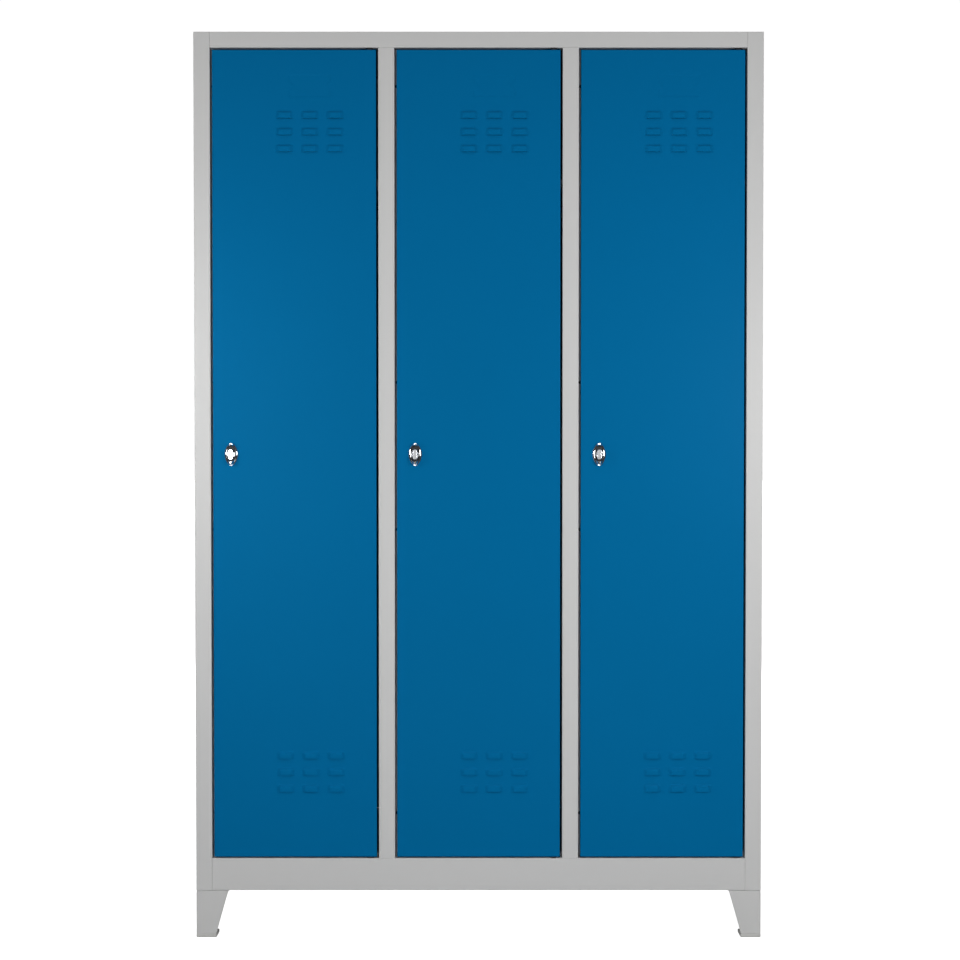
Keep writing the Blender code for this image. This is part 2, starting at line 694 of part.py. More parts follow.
def latch_cam(name, axis):
    """A flat arm that hangs down when unlocked and reaches behind the stop when turned."""
    length = LATCH_INSET + DOOR_GAP + CAM_PAST_EDGE
    tip = length - CAM_TIP_RADIUS
    outline = arc((0, 0), CAM_RADIUS, 0, 180, ROUND // 2)
    outline += arc((0, -tip), CAM_TIP_RADIUS, 180, 360, SMALL_ROUND // 2)
    hole = arc((0, 0), SPINDLE_RADIUS + GAP, 0, 360, ROUND)[:-1]
    curve = bpy.data.curves.new(name, "CURVE")
    curve.dimensions = "2D"
    curve.fill_mode = "BOTH"
    curve.extrude = CAM_THICKNESS / 2
    for points in (outline, hole):
        spline = curve.splines.new("POLY")
        spline.points.add(len(points) - 1)
        spline.use_cyclic_u = True
        for point, (x, y) in zip(spline.points, points):
            point.co = (x, y, 0, 1)
    curve.materials.append(ZINC)
    cam = bpy.data.objects.new(name, curve)
    PARTS.objects.link(cam)
    cam.parent = axis
    cam.location = (0, CAM_FRONT + CAM_THICKNESS / 2, 0)
    cam.rotation_euler = (math.pi / 2, 0, 0)


def door(bay_name, bay):
    hinge = add_empty(f"{bay_name}_hinge_line", (hinge_x(bay), Y_FRONT + PIVOT_DEPTH, 0))
    door_skin(f"{bay_name}_door_skin", hinge)
    door_stiffener(f"{bay_name}_door_stiffener", hinge)
    pins_and_bushes(bay_name, bay, hinge)
    place = (DOOR_LEFT + LATCH_INSET, DOOR_FRONT, LATCH_HEIGHT)
    axis = add_empty(f"{bay_name}_latch_axis", place, hinge)
    latch_base(f"{bay_name}_latch_base", axis)
    latch_nut(f"{bay_name}_latch_nut", axis)
    latch_knob(f"{bay_name}_latch_knob", axis)
    latch_cam(f"{bay_name}_latch_cam", axis)


# Inside each bay


def bay_sides(bay):
    """The inner faces of the walls on the left and right of a bay."""
    left = -WIDTH / 2 + SHEET if bay == 0 else mullion_x(bay - 1) + SHEET
    right = WIDTH / 2 - SHEET if bay == len(BAYS) - 1 else mullion_x(bay)
    return left, right


def shelf(name, bay):
    left, right = bay_sides(bay)
    under = SHELF_TOP - SHELF_FLANGE
    folded_sheet(name, [
        (SHELF_FRONT + SHELF_RETURN, under), (SHELF_FRONT, under), (SHELF_FRONT, SHELF_TOP),
        (SHELF_BACK, SHELF_TOP), (SHELF_BACK, under),
    ], "X", left + SHELF_SIDE_CLEARANCE, right - SHELF_SIDE_CLEARANCE)


def oval_tube(name, material, width, height, low, high, wall, parent=None):
    """A tube along X with flat sides and round top and bottom."""
    bm = bmesh.new()
    half_step = Matrix.Rotation(math.pi / OVAL_ROUND, 4, "Z")
    turn = Matrix.Rotation(math.pi / 2, 4, "Y") @ half_step
    verts = bmesh.ops.create_cone(
        bm, cap_ends=False, segments=OVAL_ROUND, radius1=width / 2, radius2=width / 2,
        depth=high - low, matrix=Matrix.Translation(((low + high) / 2, 0, 0)) @ turn,
    )["verts"]
    for vert in verts:
        vert.co.z += math.copysign((height - width) / 2, vert.co.z)
    place = (0, 0, 0) if parent else (0, RAIL_Y, RAIL_Z)
    tube = add_part(name, bm, material, parent, place, smooth=True)
    solidify(tube, wall)
    return tube


def clothes_rail(name, bay):
    left, right = bay_sides(bay)
    low = left + RAIL_END_CLEARANCE
    high = right - RAIL_END_CLEARANCE
    oval_tube(name, ZINC, RAIL_WIDTH, RAIL_HEIGHT, low, high, RAIL_WALL)


def hook(name, x):
    """A loop that slides on the rail, with an open hook below."""
    axis = add_empty(f"{name}_slide", (x, RAIL_Y, RAIL_Z))
    half = HOOK_WIDTH / 2
    around = 2 * (HOOK_CLEARANCE + HOOK_WALL)
    width = RAIL_WIDTH + around
    height = RAIL_HEIGHT + around
    loop = oval_tube(name, BLACK_PLASTIC, width, height, -half, half, HOOK_WALL, axis)
    below = -height / 2 + HOOK_WALL / 2
    bend = below - HOOK_STEM
    points = [(0, below), (0, below - HOOK_STEM / 2)]
    points += arc((-HOOK_BOW, bend), HOOK_BOW, 0, -HOOK_TURN, HOOK_STEPS)
    wire = bpy.data.curves.new(name + "_bow", "CURVE")
    wire.dimensions = "3D"
    wire.bevel_depth = HOOK_WIRE
    wire.bevel_resolution = HOOK_BEVEL
    wire.use_fill_caps = True
    spline = wire.splines.new("POLY")
    spline.points.add(len(points) - 1)
    for point, (y, z) in zip(spline.points, points):
        point.co = (0, y, z, 1)
    bow = bpy.data.objects.new(name + "_bow", wire)
    CUTTERS.objects.link(bow)
    bpy.context.view_layer.update()
    graph = bpy.context.evaluated_depsgraph_get()
    round_wire = bpy.data.meshes.new_from_object(bow.evaluated_get(graph))
    solid = bmesh.new()
    solid.from_mesh(round_wire)
    bpy.data.objects.remove(bow)
    bmesh.ops.remove_doubles(solid, verts=solid.verts, dist=0.00001)
    join_with(loop, add_cutter(name + "_bow", solid, axis))


def bay_fittings(bay_name, bay):
    shelf(f"{bay_name}_shelf", bay)
    clothes_rail(f"{bay_name}_clothes_rail", bay)
    left, right = bay_sides(bay)
    for number in range(HOOKS):
        share = (number + 0.5) / HOOKS
        hook(f"{bay_name}_hook_{number + 1}", left + (right - left) * share)


def main():
    side_panels()
    roof_panel()
    floor_panel()
    back_panel()
    for bay, (before, after) in enumerate(zip(BAYS, BAYS[1:])):
        mullion(f"{before}_{after}_mullion", mullion_x(bay))
        partition(f"{before}_{after}_partition", mullion_x(bay))
    legs()
    for bay, bay_name in enumerate(BAYS):
        door(bay_name, bay)
        bay_fittings(bay_name, bay)


main()
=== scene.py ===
import json
import math

import bmesh
import bpy
from mathutils import Matrix, Vector

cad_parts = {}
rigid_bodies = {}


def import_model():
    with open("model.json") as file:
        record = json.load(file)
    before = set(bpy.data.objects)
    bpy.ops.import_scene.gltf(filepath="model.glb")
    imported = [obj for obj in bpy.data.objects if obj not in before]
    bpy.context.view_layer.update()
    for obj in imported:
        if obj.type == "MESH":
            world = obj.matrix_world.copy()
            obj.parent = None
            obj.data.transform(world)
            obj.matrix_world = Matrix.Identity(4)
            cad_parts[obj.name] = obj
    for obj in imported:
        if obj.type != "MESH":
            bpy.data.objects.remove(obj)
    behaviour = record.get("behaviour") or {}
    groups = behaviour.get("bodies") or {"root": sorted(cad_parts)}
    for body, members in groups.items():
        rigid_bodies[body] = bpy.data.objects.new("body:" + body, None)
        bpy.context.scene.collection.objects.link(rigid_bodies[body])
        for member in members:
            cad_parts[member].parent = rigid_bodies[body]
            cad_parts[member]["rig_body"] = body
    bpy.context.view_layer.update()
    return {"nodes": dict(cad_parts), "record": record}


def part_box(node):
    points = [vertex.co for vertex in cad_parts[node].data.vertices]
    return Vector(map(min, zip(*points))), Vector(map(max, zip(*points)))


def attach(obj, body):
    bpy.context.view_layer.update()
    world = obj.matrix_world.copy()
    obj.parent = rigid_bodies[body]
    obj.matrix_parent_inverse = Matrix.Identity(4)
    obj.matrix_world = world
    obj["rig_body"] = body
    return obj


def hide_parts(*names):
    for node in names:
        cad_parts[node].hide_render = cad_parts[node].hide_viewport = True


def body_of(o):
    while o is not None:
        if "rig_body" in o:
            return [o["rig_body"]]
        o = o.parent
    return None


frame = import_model()
nodes = frame["nodes"]
scene = bpy.context.scene
bays = ("left", "middle", "right")
print("locker frame loaded,", len(nodes), "nodes")

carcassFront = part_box("roof_panel")[0].y  # front faces of stiles, rails and closed doors
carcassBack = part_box("roof_panel")[1].y
sheetThickness = 0.0008
doorGap = 0.0045  # at the sides and top of each door


# small helpers for meshes and nodes

def setInputs(tree, node, inputs):
    # a socket is linked, a value is set
    for key, value in inputs.items():
        if isinstance(value, bpy.types.NodeSocket):
            tree.links.new(value, node.inputs[key])
        else:
            node.inputs[key].default_value = value


def addNode(tree, kind, inputs=None, **settings):
    node = tree.nodes.new(kind)
    for key, value in settings.items():
        setattr(node, key, value)
    setInputs(tree, node, inputs or {})
    return node


def placeObject(name, mesh, material=None):
    piece = bpy.data.objects.new(name, mesh)
    scene.collection.objects.link(piece)
    if material:
        mesh.materials.clear()
        mesh.materials.append(material)
    return piece


def meshFrom(name, bm, smoothAngle=None):
    mesh = bpy.data.meshes.new(name)
    bm.to_mesh(mesh)
    bm.free()
    if smoothAngle:
        mesh.shade_smooth()
        mesh.set_sharp_from_angle(angle=math.radians(smoothAngle))
    return mesh


def makePiece(name, bm, finish=None, smoothAngle=None):
    return placeObject(name, meshFrom(name, bm, smoothAngle), finishes[finish] if finish else None)


def evaluatedMesh(piece):
    graph = bpy.context.evaluated_depsgraph_get()
    return bpy.data.meshes.new_from_object(piece.evaluated_get(graph))


def applyModifiers(piece):
    mesh = evaluatedMesh(piece)
    piece.modifiers.clear()
    piece.data = mesh
    return piece


def addLoft(bm, rings, closed=False):
    # quads between rings of the same count; an open loft is capped at both ends
    loops = [[bm.verts.new(point) for point in ring] for ring in rings]
    pairs = list(zip(loops, loops[1:] + loops[:1] if closed else loops[1:]))
    made = []
    for first, second in pairs:
        for i in range(len(first)):
            j = (i + 1) % len(first)
            made.append(bm.faces.new((first[i], first[j], second[j], second[i])))
    if not closed:
        made.append(bm.faces.new(loops[0]))
        made.append(bm.faces.new(loops[-1]))
    bmesh.ops.recalc_face_normals(bm, faces=made)
    return made


def addLathe(bm, profile, sides, centre=(0, 0, 0), axis="Z"):
    # profile of (radius, height); a radius of 0 closes the end in a fan
    turn = {"Z": Matrix.Identity(3), "Y": Matrix.Rotation(math.pi / 2, 3, "X"),
            "X": Matrix.Rotation(math.pi / 2, 3, "Y")}[axis]
    rings = []
    for radius, height in profile:
        count = 1 if radius == 0 else sides
        ring = []
        for i in range(count):
            angle = 2 * math.pi * (i + 0.5) / sides
            local = Vector((radius * math.cos(angle), radius * math.sin(angle), height))
            ring.append(bm.verts.new(turn @ local + Vector(centre)))
        rings.append(ring)
    made = []
    for first, second in zip(rings, rings[1:]):
        for i in range(sides):
            j = (i + 1) % sides
            corners = [first[i % len(first)], first[j % len(first)],
                       second[j % len(second)], second[i % len(second)]]
            made.append(bm.faces.new(list(dict.fromkeys(corners))))
    for ring in (rings[0], rings[-1]):
        if len(ring) > 1:
            made.append(bm.faces.new(ring))
    bmesh.ops.recalc_face_normals(bm, faces=made)
    return made


def addBlock(bm, low, high):
    low, high = Vector(low), Vector(high)
    size = Matrix.Diagonal((*(high - low), 1))
    return bmesh.ops.create_cube(bm, size=1, matrix=Matrix.Translation((low + high) / 2) @ size)


def stadiumRing(width, height, steps, place):
    # an upright oval with straight sides; place turns (across, up) into a point
    points = []
    for i in range(steps):
        angle = 2 * math.pi * (i + 0.5) / steps
        across, up = math.cos(angle) * width / 2, math.sin(angle) * width / 2
        points.append(place(across, up + math.copysign((height - width) / 2, up)))
    return points


def booleanWith(piece, bm, operation="DIFFERENCE"):
    other = placeObject("cutter", meshFrom("cutter", bm))
    modifier = piece.modifiers.new("Shape", "BOOLEAN")
    modifier.operation = operation
    modifier.solver = "EXACT"
    modifier.object = other
    applyModifiers(piece)
    bpy.data.objects.remove(other)
    return piece


def bore(piece, radius, reach, sides=32, centre=(0, 0, 0), axis="Y"):
    hole = bmesh.new()
    addLathe(hole, [(radius, -reach), (radius, reach)], sides, centre, axis)
    return booleanWith(piece, hole)


def roundEdges(piece, width, segments=2, angle=38):
    bevel = piece.modifiers.new("Edges", "BEVEL")
    bevel.width = width
    bevel.segments = segments
    bevel.limit_method = "ANGLE"
    bevel.angle_limit = math.radians(angle)
    bevel.miter_outer = "MITER_ARC"
    applyModifiers(piece)
    piece.data.shade_smooth()
    piece.data.set_sharp_from_angle(angle=math.radians(50))
    return piece


def smoothFolds(piece, angle):
    piece.data.shade_smooth()
    piece.data.set_sharp_from_angle(angle=math.radians(angle))
    weighted = piece.modifiers.new("Flats", "WEIGHTED_NORMAL")
    weighted.keep_sharp = True
    return applyModifiers(piece)


def handOver(piece, body, slotName, *replaced):
    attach(piece, body)
    if replaced:
        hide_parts(*replaced)
    return piece


# camera, floor and studio light

view = {
    "distance": 3.95,  # from the closed doors
    "height": 1.0587,
    "tiltDown": 1.36,  # degrees
    "sideways": 0.003,
    "lens": 70.68,
    "sensor": 36,
}


def makeCamera():
    data = bpy.data.cameras.new("frontCamera")
    data.lens = view["lens"]
    data.sensor_width = view["sensor"]
    camera = bpy.data.objects.new("frontCamera", data)
    scene.collection.objects.link(camera)
    camera.location = (view["sideways"], carcassFront - view["distance"], view["height"])
    camera.rotation_euler = (math.radians(90 - view["tiltDown"]), 0, 0)
    scene.camera = camera


softboxes = {  # place, point aimed at, width, height, watts
    "leftGlow": ((-1.0, -0.80, 1.17), (-0.5, -0.24, 1.17), 0.12, 0.3, 2.2),
    "rightGlow": ((0.97, -1.5, 1.16), (0.42, -0.24, 1.16), 0.3, 0.4, 7.6),
    "lowFill": ((0, -1.7, 0.3), (0, -0.24, 0.04), 1.6, 0.15, 1.7),
    "leftSoftbox": ((-0.92, -2.3, 1.06), (-0.3, -0.24, 1.1), 0.55, 0.9, 8.4),
    "rightSoftbox": ((2.1, -2.3, 1.2), (0.35, -0.24, 1.2), 0.7, 1.0, 3.5),
    "ceilingBox": ((0, -1.2, 4.4), (0, 0, 0.8), 3.4, 2.4, 6),
    "rearFill": ((0, 4.2, 2.2), (0, 0, 1.0), 3.0, 2.2, 90),
}
studio = {
    "floorSize": 80, "floorTone": 0.62, "floorSeen": 0.93, "floorGlow": 0.95, "backdrop": 1.02,
    "ambient": 0.255, "frontGlow": 0.51,  # light from behind the viewer
    "mirrored": 0.05, "mirroredGlow": 0.60, "mirroredFloor": 0.10,  # what bright plating sees
}


def makeStudio():
    for name, (place, target, width, height, watts) in softboxes.items():
        data = bpy.data.lights.new(name, "AREA")
        data.shape = "RECTANGLE"
        data.size, data.size_y = width, height
        data.energy = watts
        lamp = bpy.data.objects.new(name, data)
        scene.collection.objects.link(lamp)
        lamp.visible_camera = False
        lamp.location = place
        lamp.rotation_euler = (Vector(target) - Vector(place)).to_track_quat("-Z", "Y").to_euler()
    world = bpy.data.worlds.new("paleStudio")
    scene.world = world
    world.use_nodes = True
    tree = world.node_tree
    tree.nodes.clear()
    direction = addNode(tree, "ShaderNodeTexCoord").outputs["Generated"]
    towards = addNode(tree, "ShaderNodeSeparateXYZ", {"Vector": direction}).outputs["Y"]
    unseen = addNode(tree, "ShaderNodeMapRange", {
        "Value": towards, "From Min": -0.35, "From Max": -1.0, "To Min": studio["ambient"],
        "To Max": studio["ambient"] + studio["frontGlow"]}).outputs["Result"]
    mirrored = addNode(tree, "ShaderNodeMapRange", {
        "Value": towards, "From Min": -0.80, "From Max": -0.98, "To Min": studio["mirrored"],
        "To Max": studio["mirrored"] + studio["mirroredGlow"]}).outputs["Result"]
    ray = addNode(tree, "ShaderNodeLightPath").outputs
    bounced = addNode(tree, "ShaderNodeMix", {
        "Factor": ray["Is Glossy Ray"], "A": unseen, "B": mirrored}).outputs["Result"]
    strength = addNode(tree, "ShaderNodeMix", {
        "Factor": ray["Is Camera Ray"], "A": bounced, "B": studio["backdrop"]})
    background = addNode(tree, "ShaderNodeBackground", {
        "Color": (1, 1, 1, 1), "Strength": strength.outputs["Result"]})
    addNode(tree, "ShaderNodeOutputWorld", {"Surface": background.outputs["Background"]})
    bm = bmesh.new()
    bmesh.ops.create_grid(bm, x_segments=8, y_segments=8, size=studio["floorSize"] / 2)
    floor = placeObject("studioFloor", meshFrom("studioFloor", bm), floorMaterial())


def floorMaterial():
    # pale to the eye, darker to bounced light so that it doesn't light the doors from below
    material = bpy.data.materials.new("paleFloor")
    material.use_nodes = True
    tree = material.node_tree
    shader = tree.nodes["Principled BSDF"]
    ray = addNode(tree, "ShaderNodeLightPath").outputs
    seen = ray["Is Camera Ray"]
    bounced = addNode(tree, "ShaderNodeMix", {
        "Factor": ray["Is Glossy Ray"], "A": studio["floorTone"], "B": studio["mirroredFloor"]})
    tone = addNode(tree, "ShaderNodeMix", {
        "Factor": seen, "A": bounced.outputs["Result"], "B": studio["floorSeen"]})
    glow = addNode(tree, "ShaderNodeMapRange", {
        "Value": seen, "To Min": 0, "To Max": studio["floorGlow"]})
    setInputs(tree, shader, {
        "Base Color": tone.outputs["Result"], "Emission Strength": glow.outputs["Result"],
        "Emission Color": (1, 1, 1, 1), "Roughness": 0.9, "Specular IOR Level": 0.0})
    return material


scene.view_settings.view_transform = "Standard"
makeCamera()
makeStudio()
print("camera, floor and softboxes set")


# effects that the finishes share

def newShaderGroup(name, inputs, outputs):
    tree = bpy.data.node_groups.new(name, "ShaderNodeTree")
    for label, (kind, value) in inputs.items():
        socket = tree.interface.new_socket(label, in_out="INPUT", socket_type="NodeSocket" + kind)
        if value is not None:
            socket.default_value = value
    for label, kind in outputs.items():
        tree.interface.new_socket(label, in_out="OUTPUT", socket_type="NodeSocket" + kind)
    return tree, tree.nodes.new("NodeGroupInput").outputs, tree.nodes.new("NodeGroupOutput")


def noise(tree, vector, scale, detail=2.0, roughness=0.5):
    return addNode(tree, "ShaderNodeTexNoise", {
        "Vector": vector, "Scale": scale, "Detail": detail, "Roughness": roughness})


def maths(tree, operation, first, second):
    values = {0: first, 1: second}
    return addNode(tree, "ShaderNodeMath", values, operation=operation).outputs["Value"]


def swing(tree, share, depth):
    # a share from 0 to 1 becomes a swing either side of nothing
    return maths(tree, "MULTIPLY", maths(tree, "SUBTRACT", share, 0.5), depth)


def toned(tree, colour, level):
    node = addNode(tree, "ShaderNodeVectorMath", {0: colour, "Scale": level}, operation="SCALE")
    return node.outputs["Vector"]


def spread(tree, value, low, high, start=0.0, end=1.0):
    return addNode(tree, "ShaderNodeMapRange", {
        "Value": value, "From Min": start, "From Max": end, "To Min": low, "To Max": high,
    }).outputs["Result"]


def makeOrangePeel():
    # the fine ripple of stoved powder coat, with a few larger swells under it
    tree, given, result = newShaderGroup("orangePeel", {
        "Position": ("Vector", None), "Ripples per Metre": ("Float", 420.0),
        "Swells per Metre": ("Float", 60.0), "Swell Share": ("Float", 0.35),
    }, {"Height": "Float"})
    fine = noise(tree, given["Position"], given["Ripples per Metre"], 1.0).outputs["Fac"]
    swell = noise(tree, given["Position"], given["Swells per Metre"], 0.0).outputs["Fac"]
    mixed = addNode(tree, "ShaderNodeMix", {"Factor": given["Swell Share"], "A": fine, "B": swell})
    tree.links.new(mixed.outputs["Result"], result.inputs["Height"])
    return tree


def makeToneDrift():
    # slow drift in the paint's tone and a faint pigment fleck
    tree, given, result = newShaderGroup("toneDrift", {
        "Position": ("Vector", None), "Paint": ("Color", (0.5, 0.5, 0.5, 1)),
        "Patches per Metre": ("Float", 2.2), "Patch Depth": ("Float", 0.05),
        "Flecks per Metre": ("Float", 900.0), "Fleck Depth": ("Float", 0.03),
    }, {"Color": "Color"})
    patch = noise(tree, given["Position"], given["Patches per Metre"], 3.0).outputs["Fac"]
    fleck = noise(tree, given["Position"], given["Flecks per Metre"], 0.0).outputs["Fac"]
    slow = swing(tree, patch, given["Patch Depth"])
    quick = swing(tree, fleck, given["Fleck Depth"])
    level = maths(tree, "ADD", maths(tree, "ADD", slow, quick), 1.0)
    tree.links.new(toned(tree, given["Paint"], level), result.inputs["Color"])
    return tree


def makeHandling():
    # wiped and fingered areas: roughness wanders about its base value
    tree, given, result = newShaderGroup("handling", {
        "Position": ("Vector", None), "Base": ("Float", 0.4), "Wipes per Metre": ("Float", 7.0),
        "Wipe Depth": ("Float", 0.08), "Grit per Metre": ("Float", 260.0),
        "Grit Depth": ("Float", 0.04),
    }, {"Roughness": "Float"})
    stretched = addNode(tree, "ShaderNodeMapping", {
        "Vector": given["Position"], "Scale": (1, 1, 0.35)}).outputs["Vector"]
    wipe = noise(tree, stretched, given["Wipes per Metre"], 4.0, 0.6).outputs["Fac"]
    grit = noise(tree, given["Position"], given["Grit per Metre"], 1.0).outputs["Fac"]
    slow = swing(tree, wipe, given["Wipe Depth"])
    quick = swing(tree, grit, given["Grit Depth"])
    total = maths(tree, "ADD", maths(tree, "ADD", slow, quick), given["Base"])
    tree.links.new(total, result.inputs["Roughness"])
    return tree


def makeDust():
    # settles where the surface faces up, thinner where it has been wiped
    tree, given, result = newShaderGroup("settledDust", {
        "Position": ("Vector", None), "Normal": ("Vector", None),
        "Color": ("Color", (0.5, 0.5, 0.5, 1)), "Dust": ("Color", (0.5, 0.48, 0.45, 1)),
        "Amount": ("Float", 0.12),
    }, {"Color": "Color"})
    upward = addNode(tree, "ShaderNodeSeparateXYZ", {"Vector": given["Normal"]}).outputs["Z"]
    facing = spread(tree, upward, 0.0, 1.0, 0.6, 1.0)
    cloud = noise(tree, given["Position"], 5.0, 5.0, 0.65).outputs["Fac"]
    patch = spread(tree, cloud, 0, 1, 0.35, 0.7)
    factor = maths(tree, "MULTIPLY", maths(tree, "MULTIPLY", facing, patch), given["Amount"])
    mixed = addNode(tree, "ShaderNodeMix", {"Factor": factor}, data_type="RGBA")
    tree.links.new(given["Color"], mixed.inputs[6])
    tree.links.new(given["Dust"], mixed.inputs[7])
    tree.links.new(mixed.outputs[2], result.inputs["Color"])
    return tree


def makeSpangle():
    # crystal facets of zinc plate, as a tone and a roughness
    tree, given, result = newShaderGroup("spangle", {
        "Position": ("Vector", None), "Metal": ("Color", (0.6, 0.61, 0.62, 1)),
        "Facets per Metre": ("Float", 240.0), "Tone Depth": ("Float", 0.16),
        "Base": ("Float", 0.34), "Roughness Depth": ("Float", 0.14),
    }, {"Color": "Color", "Roughness": "Float"})
    cell = addNode(tree, "ShaderNodeTexVoronoi", {
        "Vector": given["Position"], "Scale": given["Facets per Metre"], "Randomness": 1.0})
    value = addNode(tree, "ShaderNodeSeparateColor", {"Color": cell.outputs["Color"]})
    facet = value.outputs["Red"]
    level = maths(tree, "ADD", swing(tree, facet, given["Tone Depth"]), 1.0)
    rough = maths(tree, "ADD", swing(tree, facet, given["Roughness Depth"]), given["Base"])
    setInputs(tree, result, {"Color": toned(tree, given["Metal"], level), "Roughness": rough})
    return tree


def makeMouldGrain():
    # spark-eroded mould texture of the plastic pieces
    tree, given, result = newShaderGroup("mouldGrain", {
        "Position": ("Vector", None), "Grains per Metre": ("Float", 1500.0),
        "Flow per Metre": ("Float", 90.0),
    }, {"Height": "Float"})
    grain = addNode(tree, "ShaderNodeTexVoronoi", {
        "Vector": given["Position"], "Scale": given["Grains per Metre"], "Randomness": 1.0},
        feature="SMOOTH_F1")
    flow = noise(tree, given["Position"], given["Flow per Metre"], 2.0).outputs["Fac"]
    height = maths(tree, "ADD", grain.outputs["Distance"], maths(tree, "MULTIPLY", flow, 0.6))
    tree.links.new(height, result.inputs["Height"])
    return tree


effects = {
    "peel": makeOrangePeel(), "drift": makeToneDrift(), "handling": makeHandling(),
    "dust": makeDust(), "spangle": makeSpangle(), "grain": makeMouldGrain(),
}


# finishes

def startMaterial(name, colour):
    material = bpy.data.materials.new(name)
    material.use_nodes = True
    material.diffuse_color = (*colour, 1)
    tree = material.node_tree
    shader = tree.nodes["Principled BSDF"]
    shader.inputs["Base Color"].default_value = (*colour, 1)
    position = addNode(tree, "ShaderNodeTexCoord").outputs["Object"]
    return material, tree, shader, position


def effect(tree, name, inputs):
    return addNode(tree, "ShaderNodeGroup", inputs, node_tree=effects[name]).outputs


def bumpInto(tree, shader, height, distance, strength=1.0):
    bump = addNode(tree, "ShaderNodeBump", {
        "Height": height, "Distance": distance, "Strength": strength})
    tree.links.new(bump.outputs["Normal"], shader.inputs["Normal"])


powderCoats = {
    "greyCoat": {
        "colour": (0.58, 0.58, 0.576), "sheen": (1, 1, 1), "roughness": 0.42, "specular": 0.30,
        "dust": 0.10, "patch": 0.045, "fleck": 0.05, "ripple": 0.00005, "wipe": 0.07,
    },
    "blueCoat": {
        "colour": (0.0, 0.130, 0.318), "sheen": (0.2, 0.6, 1.0), "roughness": 0.40,
        "specular": 0.08, "dust": 0.02, "patch": 0.07, "fleck": 0.06, "ripple": 0.00006,
        "wipe": 0.09,
    },
}


def makePowderCoat(name):
    coat = powderCoats[name]
    material, tree, shader, position = startMaterial(name, coat["colour"])
    tone = effect(tree, "drift", {
        "Position": position, "Paint": (*coat["colour"], 1), "Patch Depth": coat["patch"],
        "Fleck Depth": coat["fleck"]})["Color"]
    normal = addNode(tree, "ShaderNodeNewGeometry").outputs["Normal"]
    dusty = effect(tree, "dust", {"Position": position, "Normal": normal, "Color": tone,
                                  "Amount": coat["dust"]})["Color"]
    gloss = effect(tree, "handling", {"Position": position, "Base": coat["roughness"],
                                      "Wipe Depth": coat["wipe"]})["Roughness"]
    setInputs(tree, shader, {
        "Base Color": dusty, "Roughness": gloss, "Specular IOR Level": coat["specular"],
        "Specular Tint": (*coat["sheen"], 1)})
    height = effect(tree, "peel", {"Position": position})["Height"]
    bumpInto(tree, shader, height, coat["ripple"])
    return material


platedMetals = {
    "brightChrome": {"colour": (0.82, 0.84, 0.87), "roughness": 0.07, "facets": 60, "tone": 0.02,
                     "depth": 0.03},
    "zincPlate": {"colour": (0.60, 0.61, 0.62), "roughness": 0.33, "facets": 240, "tone": 0.16,
                  "depth": 0.14},
}


def makePlated(name):
    plate = platedMetals[name]
    material, tree, shader, position = startMaterial(name, plate["colour"])
    made = effect(tree, "spangle", {
        "Position": position, "Metal": (*plate["colour"], 1), "Facets per Metre": plate["facets"],
        "Tone Depth": plate["tone"], "Base": plate["roughness"], "Roughness Depth": plate["depth"]})
    setInputs(tree, shader, {
        "Metallic": 1.0, "Base Color": made["Color"], "Roughness": made["Roughness"]})
    height = effect(tree, "peel", {"Position": position, "Ripples per Metre": 700.0,
                                   "Swells per Metre": 150.0, "Swell Share": 0.6})["Height"]
    bumpInto(tree, shader, height, 0.00001)
    return material


plastics = {
    "greyPlastic": {"colour": (0.56, 0.56, 0.545), "roughness": 0.52, "grain": 0.00004},
    "blackNylon": {"colour": (0.018, 0.018, 0.020), "roughness": 0.42, "grain": 0.00002},
    "blackPlastic": {"colour": (0.022, 0.022, 0.024), "roughness": 0.48, "grain": 0.00005},
}


def makePlastic(name):
    kind = plastics[name]
    material, tree, shader, position = startMaterial(name, kind["colour"])
    tone = effect(tree, "drift", {"Position": position, "Paint": (*kind["colour"], 1),
                                  "Patches per Metre": 14.0, "Patch Depth": 0.09})["Color"]
    gloss = effect(tree, "handling", {"Position": position, "Base": kind["roughness"],
                                      "Wipes per Metre": 40.0})["Roughness"]
    setInputs(tree, shader, {"Base Color": tone, "Roughness": gloss})
    height = effect(tree, "grain", {"Position": position})["Height"]
    bumpInto(tree, shader, height, kind["grain"])
    return material


finishes = {name: makePowderCoat(name) for name in powderCoats}
finishes.update({name: makePlated(name) for name in platedMetals})
finishes.update({name: makePlastic(name) for name in plastics})
slotFinish = {
    "body_grey": "greyCoat", "door_blue": "blueCoat", "chrome": "brightChrome",
    "zinc_plate": "zincPlate", "black_nylon": "blackNylon", "grey_plastic": "greyPlastic",
    "black_plastic": "blackPlastic",
}
for subpart in frame["record"]["subparts"]:
    kept = nodes[subpart["node"]]
    for place in kept.material_slots:
        place.material = finishes[slotFinish[subpart["material_slot"]]]
print("finishes made:", ", ".join(finishes))


# trees that lay out what repeats

def newGeometryTree(name, inputs):
    tree = bpy.data.node_groups.new(name, "GeometryNodeTree")
    tree.is_modifier = True
    tree.interface.new_socket("Geometry", in_out="INPUT", socket_type="NodeSocketGeometry")
    for label, (kind, value) in inputs.items():
        socket = tree.interface.new_socket(label, in_out="INPUT", socket_type="NodeSocket" + kind)
        if value is not None:
            socket.default_value = value
    tree.interface.new_socket("Geometry", in_out="OUTPUT", socket_type="NodeSocketGeometry")
    return tree, tree.nodes.new("NodeGroupInput").outputs, tree.nodes.new("NodeGroupOutput")


